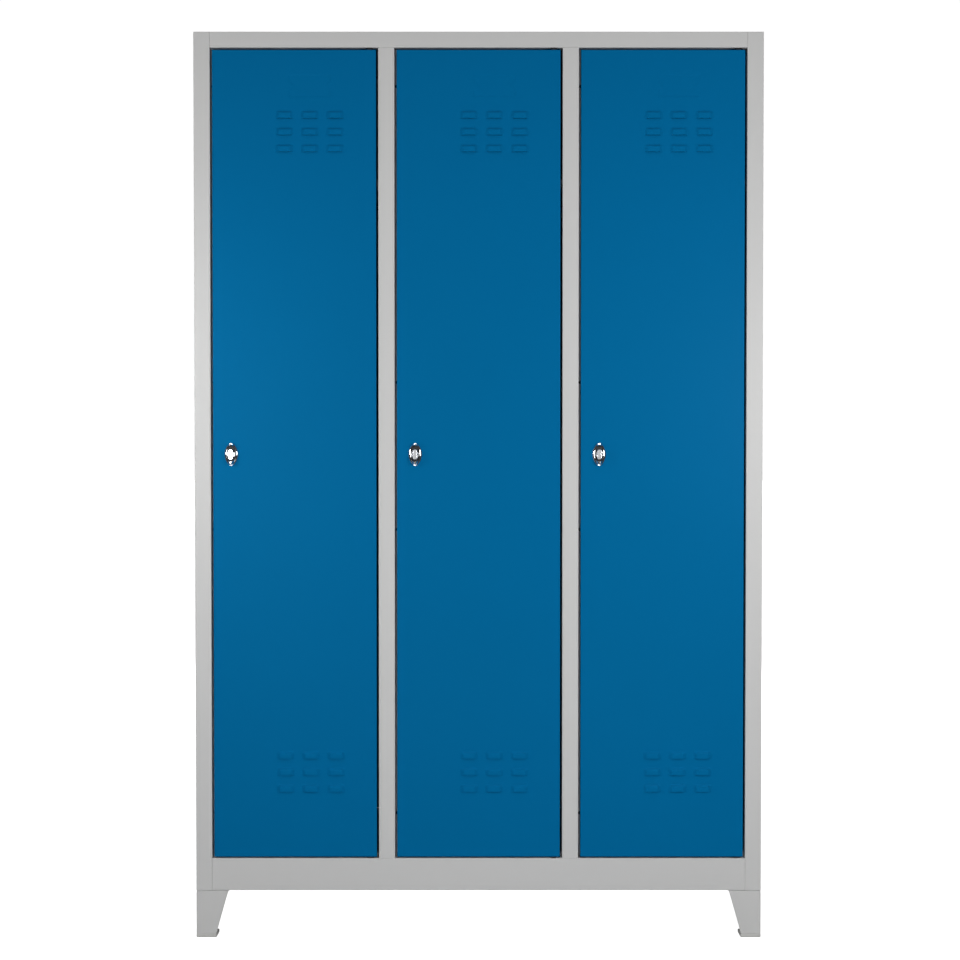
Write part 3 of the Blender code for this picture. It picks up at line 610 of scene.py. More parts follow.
def makeLouvreField():
    # one pressed tile on every point of an upright grid, welded into a single sheet
    tree, given, result = newGeometryTree("louvreField", {
        "Tile": ("Object", None), "Columns": ("Int", 3), "Rows": ("Int", 3),
        "Column Pitch": ("Float", 0.053), "Row Pitch": ("Float", 0.0349),
        "Weld Distance": ("Float", 0.00002), "Paint": ("Material", None)})

    def gridSize(count, pitch):
        return maths(tree, "MULTIPLY", maths(tree, "SUBTRACT", given[count], 1), given[pitch])

    across, upward = gridSize("Columns", "Column Pitch"), gridSize("Rows", "Row Pitch")
    grid = addNode(tree, "GeometryNodeMeshGrid", {
        "Size X": across, "Size Y": upward, "Vertices X": given["Columns"],
        "Vertices Y": given["Rows"]})
    stood = addNode(tree, "GeometryNodeTransform", {
        "Geometry": grid.outputs["Mesh"], "Rotation": (math.pi / 2, 0, 0)})
    tile = addNode(tree, "GeometryNodeObjectInfo", {"Object": given["Tile"]})
    laid = addNode(tree, "GeometryNodeInstanceOnPoints", {
        "Points": stood.outputs["Geometry"], "Instance": tile.outputs["Geometry"]})
    real = addNode(tree, "GeometryNodeRealizeInstances", {"Geometry": laid.outputs["Instances"]})
    welded = addNode(tree, "GeometryNodeMergeByDistance", {
        "Geometry": real.outputs["Geometry"], "Distance": given["Weld Distance"]})
    painted = addNode(tree, "GeometryNodeSetMaterial", {
        "Geometry": welded.outputs["Geometry"], "Material": given["Paint"]})
    tree.links.new(painted.outputs["Geometry"], result.inputs["Geometry"])
    return tree


def makeFixingField():
    # a head on every point, stood along the point's "facing" and turned at random about it
    tree, given, result = newGeometryTree("fixingField", {
        "Head": ("Object", None), "Diameter": ("Float", 0.006), "Height": ("Float", 0.001),
        "Turn Seed": ("Int", 4), "Finish": ("Material", None)})
    facing = addNode(tree, "GeometryNodeInputNamedAttribute", {"Name": "facing"},
                     data_type="FLOAT_VECTOR").outputs["Attribute"]
    stood = addNode(tree, "FunctionNodeAlignRotationToVector", {"Vector": facing}, axis="Z")
    size = addNode(tree, "ShaderNodeCombineXYZ", {
        "X": given["Diameter"], "Y": given["Diameter"], "Z": given["Height"]}).outputs["Vector"]
    head = addNode(tree, "GeometryNodeObjectInfo", {"Object": given["Head"]})
    laid = addNode(tree, "GeometryNodeInstanceOnPoints", {
        "Points": given["Geometry"], "Instance": head.outputs["Geometry"],
        "Rotation": stood.outputs["Rotation"], "Scale": size})
    anyTurn = addNode(tree, "FunctionNodeRandomValue", {"Seed": given["Turn Seed"]},
                      data_type="FLOAT")
    anyTurn.inputs[3].default_value = 2 * math.pi
    spin = addNode(tree, "ShaderNodeCombineXYZ", {"Z": anyTurn.outputs[1]}).outputs["Vector"]
    spun = addNode(tree, "GeometryNodeRotateInstances", {
        "Instances": laid.outputs["Instances"], "Rotation": spin, "Local Space": True})
    real = addNode(tree, "GeometryNodeRealizeInstances", {"Geometry": spun.outputs["Instances"]})
    finished = addNode(tree, "GeometryNodeSetMaterial", {
        "Geometry": real.outputs["Geometry"], "Material": given["Finish"]})
    tree.links.new(finished.outputs["Geometry"], result.inputs["Geometry"])
    return tree


def runTree(host, tree, values):
    # sets the named inputs, then returns what the tree makes as a plain mesh
    modifier = host.modifiers.new(tree.name, "NODES")
    modifier.node_group = tree
    for item in tree.interface.items_tree:
        if item.item_type == "SOCKET" and item.in_out == "INPUT" and item.name in values:
            modifier[item.identifier] = values[item.name]
    mesh = evaluatedMesh(host)
    host.modifiers.clear()
    return mesh


louvreField = makeLouvreField()
fixingField = makeFixingField()


# door skins

doorPan = {
    "depth": 0.020, "bend": 0.002, "bendSteps": 4, "lip": 0.014, "mitreGap": 0.0003,
    "support": 0.0005,  # a line beside each bend that keeps the flat faces flat
}
louvre = {
    "width": 0.039, "height": 0.016, "reach": 0.004, "columns": 3, "rows": 3,
    "columnPitch": 0.053, "rowPitch": 0.0349, "shift": 0.033,  # shift is towards the hinge
    "topSlit": 0.1425, "bottomSlit": 0.138,  # from the door's edges to the outermost slits
    "cellsAcross": 40, "cellsUp": 15, "sideShoulder": 0.46, "topShoulder": 0.34,
}
labelField = {  # a shallow pressed place for a number label
    "width": 0.090, "height": 0.048, "abovePitch": 0.0675, "depth": 0.0007, "edge": 0.0032,
    "notch": 0.010, "notchHeight": 0.020, "cell": 0.0015,
}


def easeIn(share):
    t = min(1.0, max(0.0, share))
    return t * t * (3 - 2 * t)


def hoodHeight(across, up):
    # how far a louvre stands out: a crown that falls to the sheet over rounded shoulders
    u, v = abs(across) / (louvre["width"] / 2), up / louvre["height"]
    if u >= 1 or v >= 1 or v < 0:
        return 0.0
    side = easeIn((1 - u) / louvre["sideShoulder"])
    return louvre["reach"] * side * easeIn((1 - v) / louvre["topShoulder"])


def tileLines():
    # across and up, measured from the middle of the slit
    half, pitch = louvre["columnPitch"] / 2, louvre["rowPitch"]
    across = [half * (2 * i / louvre["cellsAcross"] - 1) for i in range(louvre["cellsAcross"] + 1)]
    high = louvre["height"] * 1.04
    below = -(pitch - high) / 2
    up = [below, below / 2, -0.0012]
    up += [high * i / louvre["cellsUp"] for i in range(louvre["cellsUp"] + 1)]
    up += [high + (pitch + below - high) * share for share in (0.4, 1.0)]
    return across, up


def addLouvreTile(bm):
    across, up = tileLines()
    sheetVerts, hoodEdge = {}, {}
    for i, x in enumerate(across):
        for j, z in enumerate(up):
            sheetVerts[i, j] = bm.verts.new((x, 0 if z <= 0 else -hoodHeight(x, z), z))
            if z == 0 and hoodHeight(x, 0) > 0:
                hoodEdge[i] = bm.verts.new((x, -hoodHeight(x, 0), 0))
    slitRow = up.index(0)
    for i in range(len(across) - 1):
        for j in range(len(up) - 1):
            corners = [sheetVerts[i, j], sheetVerts[i + 1, j],
                       sheetVerts[i + 1, j + 1], sheetVerts[i, j + 1]]
            if j == slitRow:
                corners[0] = hoodEdge.get(i, corners[0])
                corners[1] = hoodEdge.get(i + 1, corners[1])
            bm.faces.new(corners)


def louvreBlock(paint):
    bm = bmesh.new()
    addLouvreTile(bm)
    tile = makePiece("louvreTile", bm)
    host = placeObject("louvreHost", bpy.data.meshes.new("louvreHost"))
    mesh = runTree(host, louvreField, {
        "Tile": tile, "Columns": louvre["columns"], "Rows": louvre["rows"],
        "Column Pitch": louvre["columnPitch"], "Row Pitch": louvre["rowPitch"], "Paint": paint})
    bpy.data.objects.remove(host)
    bpy.data.objects.remove(tile)
    return mesh


def evenLines(start, end, longest):
    count = max(1, math.ceil((end - start) / longest))
    return [start + (end - start) * i / count for i in range(count + 1)]


def joinedLines(*groups):
    lines = []
    for value in sorted(value for group in groups for value in group):
        if not lines or value - lines[-1] > 0.00002:
            lines.append(value)
    return lines


def labelDepth(across, up):
    # the pressed label place, a rectangle whose two ends are drawn in
    halfWide, halfHigh = labelField["width"] / 2, labelField["height"] / 2
    bite = max(0.0, 1 - abs(up) / (labelField["notchHeight"] / 2))
    inX = halfWide - labelField["notch"] * bite - abs(across)
    inZ = halfHigh - abs(up)
    return labelField["depth"] * easeIn(min(inX, inZ) / labelField["edge"])


def doorLayout(bay):
    low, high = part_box(f"{bay}_door_skin")
    left, right, bottom, top = low.x, high.x, low.z, high.z
    middle = (left + right) / 2 + louvre["shift"]
    across, up = tileLines()
    span = louvre["rowPitch"] * (louvre["rows"] - 1)
    slits = {"top": top - louvre["topSlit"] - span, "bottom": bottom + louvre["bottomSlit"]}
    blocks = {}
    for name, slit in slits.items():
        blocks[name] = (middle - louvre["columnPitch"] * louvre["columns"] / 2,
                        middle + louvre["columnPitch"] * louvre["columns"] / 2,
                        slit + up[0], slit + span + up[-1])
    bend, support = doorPan["bend"], doorPan["support"]
    xLines = [left + bend, left + bend + support, right - bend - support, right - bend]
    for column in range(louvre["columns"]):
        shift = middle + (column - (louvre["columns"] - 1) / 2) * louvre["columnPitch"]
        xLines += [shift + x for x in across]
    xLines += evenLines(left + 0.02, blocks["top"][0], 0.045)
    zLines = [bottom + bend, bottom + bend + support, top - bend - support, top - bend]
    for slit in slits.values():
        for row in range(louvre["rows"]):
            zLines += [slit + row * louvre["rowPitch"] + z for z in up]
    labelMiddle = slits["top"] + span + labelField["abovePitch"]
    half = labelField["height"] / 2 + 0.001
    zLines += evenLines(labelMiddle - half, labelMiddle + half, labelField["cell"])
    zLines += evenLines(blocks["bottom"][3], blocks["top"][2], 0.09)
    return {"left": left, "right": right, "bottom": bottom, "top": top, "middle": middle,
            "blocks": blocks, "slits": slits, "x": joinedLines(xLines), "z": joinedLines(zLines),
            "labelMiddle": labelMiddle}


def insideBlock(layout, x, z):
    return any(a < x < b and c < z < d for a, b, c, d in layout["blocks"].values())


def addDoorFront(bm, layout):
    verts = {}
    xs, zs = layout["x"], layout["z"]

    def vertAt(i, j):
        if (i, j) not in verts:
            x, z = xs[i], zs[j]
            depth = labelDepth(x - layout["middle"], z - layout["labelMiddle"])
            verts[i, j] = bm.verts.new((x, carcassFront + depth, z))
        return verts[i, j]

    for i in range(len(xs) - 1):
        for j in range(len(zs) - 1):
            if not insideBlock(layout, (xs[i] + xs[i + 1]) / 2, (zs[j] + zs[j + 1]) / 2):
                corners = ((i, j), (i + 1, j), (i + 1, j + 1), (i, j + 1))
                bm.faces.new([vertAt(*corner) for corner in corners])
    ends = len(xs) - 1, len(zs) - 1
    loop = [verts[i, 0] for i in range(ends[0])]
    loop += [verts[ends[0], j] for j in range(ends[1])]
    loop += [verts[i, ends[1]] for i in range(ends[0], 0, -1)]
    loop += [verts[0, j] for j in range(ends[1], 0, -1)]
    return loop


def panProfile():
    # (inset from the outline, depth behind the front) down the side and round to the lip
    bend, depth, steps = doorPan["bend"], doorPan["depth"], doorPan["bendSteps"]
    support = doorPan["support"]
    profile = []
    for i in range(1, steps + 1):
        angle = math.pi / 2 * i / steps
        profile.append((bend * (1 - math.sin(angle)), bend * (1 - math.cos(angle))))
    profile += [(0, bend + support), (0, depth - bend - support), (0, depth - bend)]
    for i in range(1, steps + 1):
        angle = math.pi / 2 * i / steps
        profile.append((bend * (1 - math.cos(angle)), depth - bend * (1 - math.sin(angle))))
    profile.append((bend + support, depth))
    return profile


def addPanSides(bm, layout, loop):
    left, right = layout["left"], layout["right"]
    bottom, top = layout["bottom"], layout["top"]

    def inset(point, amount, depth):
        x = min(max(point.x, left + amount), right - amount)
        z = min(max(point.z, bottom + amount), top - amount)
        if min(point.x - left, right - point.x) < 0.003:
            x = left + amount if point.x < layout["middle"] else right - amount
        if min(point.z - bottom, top - point.z) < 0.003:
            z = bottom + amount if point.z < layout["labelMiddle"] - 0.5 else top - amount
        return Vector((x, carcassFront + depth, z))

    base = [vert.co.copy() for vert in loop]
    previous = loop
    for amount, depth in panProfile():
        ring = [bm.verts.new(inset(point, amount, depth)) for point in base]
        for i in range(len(ring)):
            j = (i + 1) % len(ring)
            bm.faces.new((previous[j], previous[i], ring[i], ring[j]))
        previous = ring
    return base, previous


def addLips(bm, layout, base, ring):
    # four lips, apart at the mitres
    lip, gap = doorPan["lip"], doorPan["mitreGap"]
    left, right = layout["left"] + lip, layout["right"] - lip
    bottom, top = layout["bottom"] + lip, layout["top"] - lip
    depth = carcassFront + doorPan["depth"]
    corners = [i for i, point in enumerate(base)
               if min(point.x - layout["left"], layout["right"] - point.x) < 0.0021
               and min(point.z - layout["bottom"], layout["top"] - point.z) < 0.0021]
    corners.append(corners[0] + len(base))
    for start, end in zip(corners, corners[1:]):
        outer = [ring[i % len(ring)] for i in range(start, end + 1)]
        outer = [outer[0]] + [v for v in outer[1:-1]
                              if left < v.co.x < right or bottom < v.co.z < top] + [outer[-1]]
        flat = abs(outer[0].co.z - outer[-1].co.z) < 0.001
        inner = []
        for vert in outer:
            if flat:
                x = min(max(vert.co.x, left + gap), right - gap)
                z = bottom if vert.co.z < bottom else top
            else:
                x = left if vert.co.x < left else right
                z = min(max(vert.co.z, bottom + gap), top - gap)
            inner.append(bm.verts.new((x, depth, z)))
        for i in range(len(outer) - 1):
            bm.faces.new((outer[i + 1], outer[i], inner[i], inner[i + 1]))


doorHoles = {"latch": 0.0093, "pin": 0.0033}


def latchCentre(bay):
    low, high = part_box(f"{bay}_latch_knob")
    return Vector(((low.x + high.x) / 2, carcassFront, (low.z + high.z) / 2))


def makeDoorSkin(bay, block):
    layout = doorLayout(bay)
    bm = bmesh.new()
    loop = addDoorFront(bm, layout)
    base, ring = addPanSides(bm, layout, loop)
    addLips(bm, layout, base, ring)
    span = louvre["rowPitch"] * (louvre["rows"] - 1)
    for slit in layout["slits"].values():
        before = len(bm.verts)
        bm.from_mesh(block)
        bm.verts.ensure_lookup_table()
        shift = Vector((layout["middle"], carcassFront, slit + span / 2))
        bmesh.ops.translate(bm, verts=bm.verts[before:], vec=shift)
    bmesh.ops.remove_doubles(bm, verts=bm.verts, dist=0.00002)
    skin = makePiece(f"{bay}_door_panel", bm, "blueCoat")
    wall = skin.modifiers.new("Sheet", "SOLIDIFY")
    wall.thickness = sheetThickness
    wall.offset = -1
    wall.use_even_offset = True
    applyModifiers(skin)
    holes = bmesh.new()
    radius = doorHoles["latch"]
    addLathe(holes, [(radius, -0.002), (radius, 0.002)], 48, latchCentre(bay), "Y")
    low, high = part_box(f"{bay}_upper_pin")
    radius = doorHoles["pin"]
    for height in (layout["bottom"], layout["top"]):
        place = ((low.x + high.x) / 2, (low.y + high.y) / 2, height)
        addLathe(holes, [(radius, -0.002), (radius, 0.002)], 24, place)
    booleanWith(skin, holes)
    skin.data.shade_smooth()
    skin.data.set_sharp_from_angle(angle=math.radians(35))
    return handOver(skin, f"{bay}_door", "door_blue", f"{bay}_door_skin")


block = louvreBlock(finishes["blueCoat"])
for bay in bays:
    makeDoorSkin(bay, block)
print("door skins pressed, bent and pierced")


# latches

# the black cup's wall and front, behind the grip, size a piece of painted shade in the rosette's
# hollow
latch = {
    "plateWide": 0.029, "plateHigh": 0.050, "earWide": 0.0176, "earHigh": 0.048, "reach": 0.0155,
    "face": 0.0045, "hollowWide": 0.0178, "hollowHigh": 0.034, "hollowUp": 0.0018,
    "recessFloor": 0.002, "shadeLiner": 0.0006, "shadeLinerFront": 0.0052, "tip": 0.0052, "earTip": 0.0046,
    "disc": 0.0080, "finWide": 0.010, "finHigh": 0.022, "finReach": 0.015, "finFoot": 0.0058,
    "finCorner": 0.0036, "eye": 0.0037, "eyeReach": 0.0098, "barrel": 0.009, "barrelEnd": 0.0237,
    "spindle": 0.004, "spindleEnd": 0.029, "slack": 0.0003, "threadStart": 0.0012,
    "threadPitch": 0.0015, "threadDepth": 0.0005,
}


def lemonRing(wide, high, tip, inset, y):
    # two long arcs joined by small round ends
    a, b, r = wide / 2 - inset, high / 2 - inset, tip - inset * 0.6
    big = (a * a - r * r + (b - r) ** 2) / (2 * (a - r))
    turn = math.atan2(b - r, big - a)
    points = []
    for i in range(23):
        angle = -turn + 2 * turn * i / 22
        points.append((big * math.cos(angle) - (big - a), big * math.sin(angle)))
    for i in range(1, 10):
        angle = turn + (math.pi - 2 * turn) * i / 10
        points.append((r * math.cos(angle), r * math.sin(angle) + b - r))
    points += [(-across, -up) for across, up in points]
    return [Vector((across, y, up)) for across, up in points]


def roundedBoxRing(wide, high, corner, inset, y):
    points = []
    radius = max(corner - inset, 0.0004)
    for sideX, sideZ, start in ((1, 1, 0), (-1, 1, 90), (-1, -1, 180), (1, -1, 270)):
        middle = (sideX * (wide / 2 - inset - radius), sideZ * (high / 2 - inset - radius))
        for i in range(7):
            angle = math.radians(start + 15 * i)
            points.append(Vector((middle[0] + radius * math.cos(angle), y,
                                  middle[1] + radius * math.sin(angle))))
    return points


def makeLatchPlate():
    # an oval rosette with an ear at each end for the shackle; its threaded barrel behind is made in
    # makeBarrel
    bm = bmesh.new()
    contour = ((0, 0.0003), (0.0001, 0.0011), (0.0006, 0.0020), (0.0014, 0.0029), (0.0024, 0.0036),
               (0.0035, 0.0041), (0.0045, 0.0044), (0.0053, latch["face"]))
    addLoft(bm, [lemonRing(latch["plateWide"], latch["plateHigh"], latch["tip"], a, -y)
                 for a, y in contour])
    plate = makePiece("latchPlate", bm, "brightChrome")
    ears = bmesh.new()
    contour = ((0, 0.0008), (0.0003, 0.0075), (0.0010, 0.0107), (0.0020, 0.0127), (0.0031, 0.0140),
               (0.0042, 0.0149), (0.0052, 0.0154), (0.0056, latch["reach"]))
    addLoft(ears, [lemonRing(latch["earWide"], latch["earHigh"], latch["earTip"], a, -y)
                   for a, y in contour])
    booleanWith(plate, ears, "UNION")
    hollow = bmesh.new()
    near, far = latch["recessFloor"], 0.03
    addLoft(hollow, [stadiumRing(latch["hollowWide"], latch["hollowHigh"], 48,
                                 lambda a, b, y=y: Vector((a, -y, b + latch["hollowUp"])))
                     for y in (near, far)])
    booleanWith(plate, hollow)
    bore(plate, latch["eye"], 0.04, centre=(0, -latch["eyeReach"], 0), axis="Z")
    return smoothFolds(roundEdges(plate, 0.0004, 2), 50)


def makeShadeLiner():
    # black cup pressed into the rosette, behind the grip: painted shade, a dark piece that stands
    # in for the shadow in the rosette's hollow
    bm = bmesh.new()
    wall, floor = latch["shadeLiner"], latch["recessFloor"]
    rings = []
    for inset, y in ((0.00005, floor), (0.00005, latch["shadeLinerFront"]), (wall, latch["shadeLinerFront"]),
                     (wall, floor + wall)):
        wide, tall = latch["hollowWide"] - 2 * inset, latch["hollowHigh"] - 2 * inset
        rings.append(stadiumRing(wide, tall, 48,
                                 lambda a, b, y=y: Vector((a, -y, b + latch["hollowUp"]))))
    addLoft(bm, rings)
    shadeLiner = makePiece("latchLiner", bm, "blackPlastic", 35)
    return bore(shadeLiner, latch["spindle"] + latch["slack"], 0.02)


def makeBarrel():
    bm = bmesh.new()
    outer, inner = latch["barrel"], latch["barrel"] - latch["threadDepth"]
    inside, end = latch["spindle"] + latch["slack"], -latch["barrelEnd"]
    depth, pitch = -latch["threadStart"], latch["threadPitch"]
    profile = [(inside, 0.0), (inner, 0.0), (inner, depth)]
    while depth - pitch > end:
        profile += [(outer, depth - pitch * 0.4), (outer, depth - pitch * 0.5),
                    (inner, depth - pitch * 0.9)]
        depth -= pitch
        profile.append((inner, depth))
    profile += [(inner, end), (inside, end)]
    rings = []
    for radius, height in profile:
        rings.append([Vector((radius * math.cos(2 * math.pi * i / 40), -height,
                              radius * math.sin(2 * math.pi * i / 40))) for i in range(40)])
    addLoft(bm, rings, closed=True)
    return makePiece("latchBarrel", bm, "brightChrome", 35)


def makeKnob():
    # a low boss in the rosette's recess, with a grip across it that has the middle eye
    bm = bmesh.new()
    near, face = latch["recessFloor"] + latch["shadeLiner"] + 0.0002, latch["finFoot"] + 0.0004
    disc = latch["disc"]
    addLathe(bm, [(disc - 0.0003, near), (disc, near + 0.0003), (disc, face - 0.0005),
                  (disc - 0.0002, face - 0.00015), (disc - 0.0006, face)], 64, axis="Y")
    knob = makePiece("latchKnob", bm, "brightChrome")
    grip = bmesh.new()
    contour = ((0, latch["finFoot"]), (0.0001, 0.0134), (0.0003, 0.0142), (0.0007, 0.0147),
               (0.0013, latch["finReach"]))
    addLoft(grip, [roundedBoxRing(latch["finWide"], latch["finHigh"], latch["finCorner"], a, -y)
                   for a, y in contour])
    booleanWith(knob, grip, "UNION")
    bore(knob, latch["eye"], 0.02, centre=(0, -latch["eyeReach"], 0), axis="X")
    spindle, radius, end = bmesh.new(), latch["spindle"], -latch["spindleEnd"]
    addLathe(spindle, [(radius, 0.003), (radius, end + 0.0004), (radius - 0.0004, end)], 32,
             axis="Y")
    booleanWith(knob, spindle, "UNION")
    return smoothFolds(roundEdges(knob, 0.0003, 2), 50)


nutShape = {"acrossFlats": 0.027, "near": 0.0011, "thickness": 0.004, "bore": 0.0093}


def makeNut():
    bm = bmesh.new()
    radius = nutShape["acrossFlats"] / math.sqrt(3)
    near, far = nutShape["near"], nutShape["near"] + nutShape["thickness"]
    addLathe(bm, [(radius, -far), (radius, -near)], 6, axis="Y")
    nut = makePiece("latchNut", bm, "zincPlate")
    dome = bmesh.new()
    flat = nutShape["acrossFlats"] / 2
    addLathe(dome, [(flat - 0.0004, -far), (radius + 0.0004, -far + 0.0012),
                    (radius + 0.0004, -near - 0.0012), (flat - 0.0004, -near)], 48, axis="Y")
    booleanWith(nut, dome, "INTERSECT")
    bore(nut, nutShape["bore"], 0.02, 48)
    return roundEdges(nut, 0.00025, 2)


camShape = {"radius": 0.009, "tipRadius": 0.006, "length": 0.044, "near": 0.0249,
            "thickness": 0.003, "bore": 0.0043}


def makeCam():
    bm = bmesh.new()
    outline = []
    tip = camShape["length"] - camShape["tipRadius"]
    for i in range(25):
        angle = math.pi * i / 24
        outline.append((camShape["radius"] * math.cos(angle), camShape["radius"] * math.sin(angle)))
    for i in range(19):
        angle = math.pi + math.pi * i / 18
        outline.append((camShape["tipRadius"] * math.cos(angle),
                        camShape["tipRadius"] * math.sin(angle) - tip))
    near, far = camShape["near"], camShape["near"] + camShape["thickness"]
    addLoft(bm, [[Vector((x, y, z)) for x, z in outline] for y in (near, far)])
    cam = makePiece("latchCam", bm, "zincPlate")
    bore(cam, camShape["bore"], 0.04)
    return roundEdges(cam, 0.0004, 2)


def makeCamScrew():
    # washer and pan-head screw on the spindle's end
    bm = bmesh.new()
    base = latch["spindleEnd"] + 0.0001
    addLathe(bm, [(0.0, -base), (0.0062, -base), (0.0065, -base - 0.0002), (0.0065, -base - 0.0009),
                  (0.0062, -base - 0.0011), (0.0, -base - 0.0011)], 32, axis="Y")
    head = base + 0.0012
    addLathe(bm, [(0.0, -head), (0.0044, -head), (0.0046, -head - 0.0006),
                  (0.0041, -head - 0.0015), (0.0030, -head - 0.0021), (0.0016, -head - 0.0023),
                  (0.0, -head - 0.0024)], 32, axis="Y")
    screw = makePiece("camScrew", bm, "zincPlate")
    for halfWide, halfHigh in ((0.0023, 0.00045), (0.00045, 0.0023)):
        slot = bmesh.new()
        addBlock(slot, (-halfWide, head + 0.0010, -halfHigh), (halfWide, head + 0.004, halfHigh))
        booleanWith(screw, slot)
    screw.data.shade_smooth()
    screw.data.set_sharp_from_angle(angle=math.radians(35))
    return screw


def copyTo(pattern, name, place):
    mesh = pattern.data.copy()
    mesh.transform(Matrix.Translation(place))
    mesh.name = name
    return placeObject(name, mesh)


plate, shadeLiner, barrel, knob = makeLatchPlate(), makeShadeLiner(), makeBarrel(), makeKnob()
nut, cam, camScrew = makeNut(), makeCam(), makeCamScrew()
for bay in bays:
    centre = latchCentre(bay)
    door, turning = f"{bay}_door", f"{bay}_latch"
    handOver(copyTo(plate, f"{bay}_latch_rosette", centre), door, "chrome", f"{bay}_latch_base")
    # the black cup in each rosette's hollow is painted shade
    handOver(copyTo(shadeLiner, f"{bay}_latch_liner", centre), door, "black_plastic")
    handOver(copyTo(barrel, f"{bay}_latch_barrel", centre), door, "chrome", f"{bay}_latch_base")
    handOver(copyTo(nut, f"{bay}_latch_locknut", centre), door, "zinc_plate", f"{bay}_latch_nut")
    handOver(copyTo(knob, f"{bay}_latch_grip", centre), turning, "chrome", f"{bay}_latch_knob")
    handOver(copyTo(cam, f"{bay}_latch_arm", centre), turning, "zinc_plate", f"{bay}_latch_cam")
    handOver(copyTo(camScrew, f"{bay}_cam_screw", centre), turning, "zinc_plate")
for pattern in (plate, shadeLiner, barrel, knob, nut, cam, camScrew):
    bpy.data.objects.remove(pattern)
print("latches fitted")


# folded sheet, and the small turned and moulded pieces

foldedNodes = ["left_side_panel", "right_side_panel", "back_panel", "roof_panel", "floor_panel",
               "left_middle_mullion", "middle_right_mullion", "left_middle_partition",
               "middle_right_partition"]
foldedNodes += [f"{bay}_{kind}" for bay in bays for kind in ("shelf", "door_stiffener")]
foldedNodes += [f"{end}_{side}_leg" for end in ("front", "rear") for side in ("left", "right")]
slotOf = {subpart["node"]: subpart["material_slot"] for subpart in frame["record"]["subparts"]}
bodyOf = {name: body_of(node)[0] for name, node in nodes.items()}


def mergedCopy(nodeName, pieceName):
    bm = bmesh.new()
    bm.from_mesh(nodes[nodeName].data)
    bmesh.ops.remove_doubles(bm, verts=bm.verts, dist=0.00001)
    bmesh.ops.dissolve_limit(bm, angle_limit=math.radians(0.4), verts=bm.verts, edges=bm.edges)
    return makePiece(pieceName, bm, slotFinish[slotOf[nodeName]])


for name in foldedNodes:
    piece = smoothFolds(mergedCopy(name, name + "_folded"), 50)
    handOver(piece, bodyOf[name], slotOf[name], name)


seam = {"gap": 0.0003, "sheet": 0.0008, "bend": 0.002, "dip": 0.00004, "stopLip": 0.008}


def addSeam(bm, low, high):
    # a ground and painted joint, drawn in a hair between two sheets
    upright = high[0] - low[0] < high[1] - low[1]
    front, back = carcassFront, carcassFront + seam["sheet"]
    outline = [(0, back), (0, front), (0.5, front + seam["dip"]), (1, front), (1, back)]
    rings = []
    for end in (0, 1):
        if upright:
            across, along = high[0] - low[0], (low[1], high[1])[end]
            rings.append([Vector((low[0] + across * share, y, along)) for share, y in outline])
        else:
            across, along = high[1] - low[1], (low[0], high[0])[end]
            rings.append([Vector((along, y, low[1] + across * share)) for share, y in outline])
    addLoft(bm, rings)


def makeSeams():
    bm = bmesh.new()
    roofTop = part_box("roof_panel")[1].z
    stile = -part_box("left_door_skin")[0].x + doorGap
    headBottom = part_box("left_middle_mullion")[1].z + seam["gap"]
    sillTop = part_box("left_middle_mullion")[0].z - seam["gap"]
    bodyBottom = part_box("left_side_panel")[0].z
    for side in (-1, 1):
        edges = sorted((side * stile, side * (stile - seam["gap"])))
        for low, high in ((headBottom, roofTop - seam["bend"]),
                          (bodyBottom + seam["bend"], sillTop)):
            addSeam(bm, (edges[0], low), (edges[1], high))
    for mullion in ("left_middle_mullion", "middle_right_mullion"):
        low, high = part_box(mullion)
        ends = (low.x + seam["bend"], high.x - seam["stopLip"] - seam["bend"])
        addSeam(bm, (ends[0], high.z), (ends[1], headBottom))
        addSeam(bm, (ends[0], sillTop), (ends[1], low.z))
    seams = makePiece("corner_seams", bm, "greyCoat")
    handOver(seams, "carcass", "body_grey")


makeSeams()


hingeTray = {"front": 0.0175, "back": 0.0284, "sheet": 0.0008, "under": 0.0009, "reach": 0.0225,
             "pastPost": 0.003, "pastSkin": 0.0035}


def makeHingeTrays():
    # folded strips under the floor, closing it where the doors' hinge corners swing
    bm = bmesh.new()
    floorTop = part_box("floor_panel")[1].z
    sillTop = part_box("left_middle_mullion")[0].z - seam["gap"]
    front, back = (carcassFront + hingeTray[end] for end in ("front", "back"))
    sheet = hingeTray["sheet"]
    high, low = sillTop - hingeTray["under"], floorTop - hingeTray["under"]
    section = [(front, high - sheet), (front, high), (back - sheet, high), (back - sheet, low),
               (back, low), (back, high - sheet)]
    stops = [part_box(f"{pair}_mullion")[1].x + hingeTray["pastPost"]
             for pair in ("left_middle", "middle_right")]
    stops.append(-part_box("left_door_skin")[0].x + hingeTray["pastSkin"])
    for bay, stop in zip(bays, stops):
        pinLow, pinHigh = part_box(f"{bay}_upper_pin")
        start = (pinLow.x + pinHigh.x) / 2 - hingeTray["reach"]
        addLoft(bm, [[Vector((x, y, z)) for y, z in section] for x in (start, stop)])
    trays = makePiece("hinge_trays", bm, "greyCoat")
    handOver(roundEdges(trays, 0.0002, 2), "carcass", "body_grey")


makeHingeTrays()


smallEdges = {"foot": 0.0009, "bush": 0.0004, "pin": 0.0004, "rail": 0.0003, "hook": 0.0007}
smallNodes = {f"{end}_{side}_foot": "foot"
              for end in ("front", "rear") for side in ("left", "right")}
for bay in bays:
    smallNodes[f"{bay}_clothes_rail"] = "rail"
    for end in ("upper", "lower"):
        smallNodes[f"{bay}_{end}_bush"] = "bush"
        smallNodes[f"{bay}_{end}_pin"] = "pin"
    for number in (1, 2):
        smallNodes[f"{bay}_hook_{number}"] = "hook"
for name, kind in smallNodes.items():
    piece = roundEdges(mergedCopy(name, name + "_finished"), smallEdges[kind], 2, 50)
    handOver(smoothFolds(piece, 50), bodyOf[name], slotOf[name], name)
print("panels folded, small pieces finished")


# fixings: spot welds, door buffers, screws

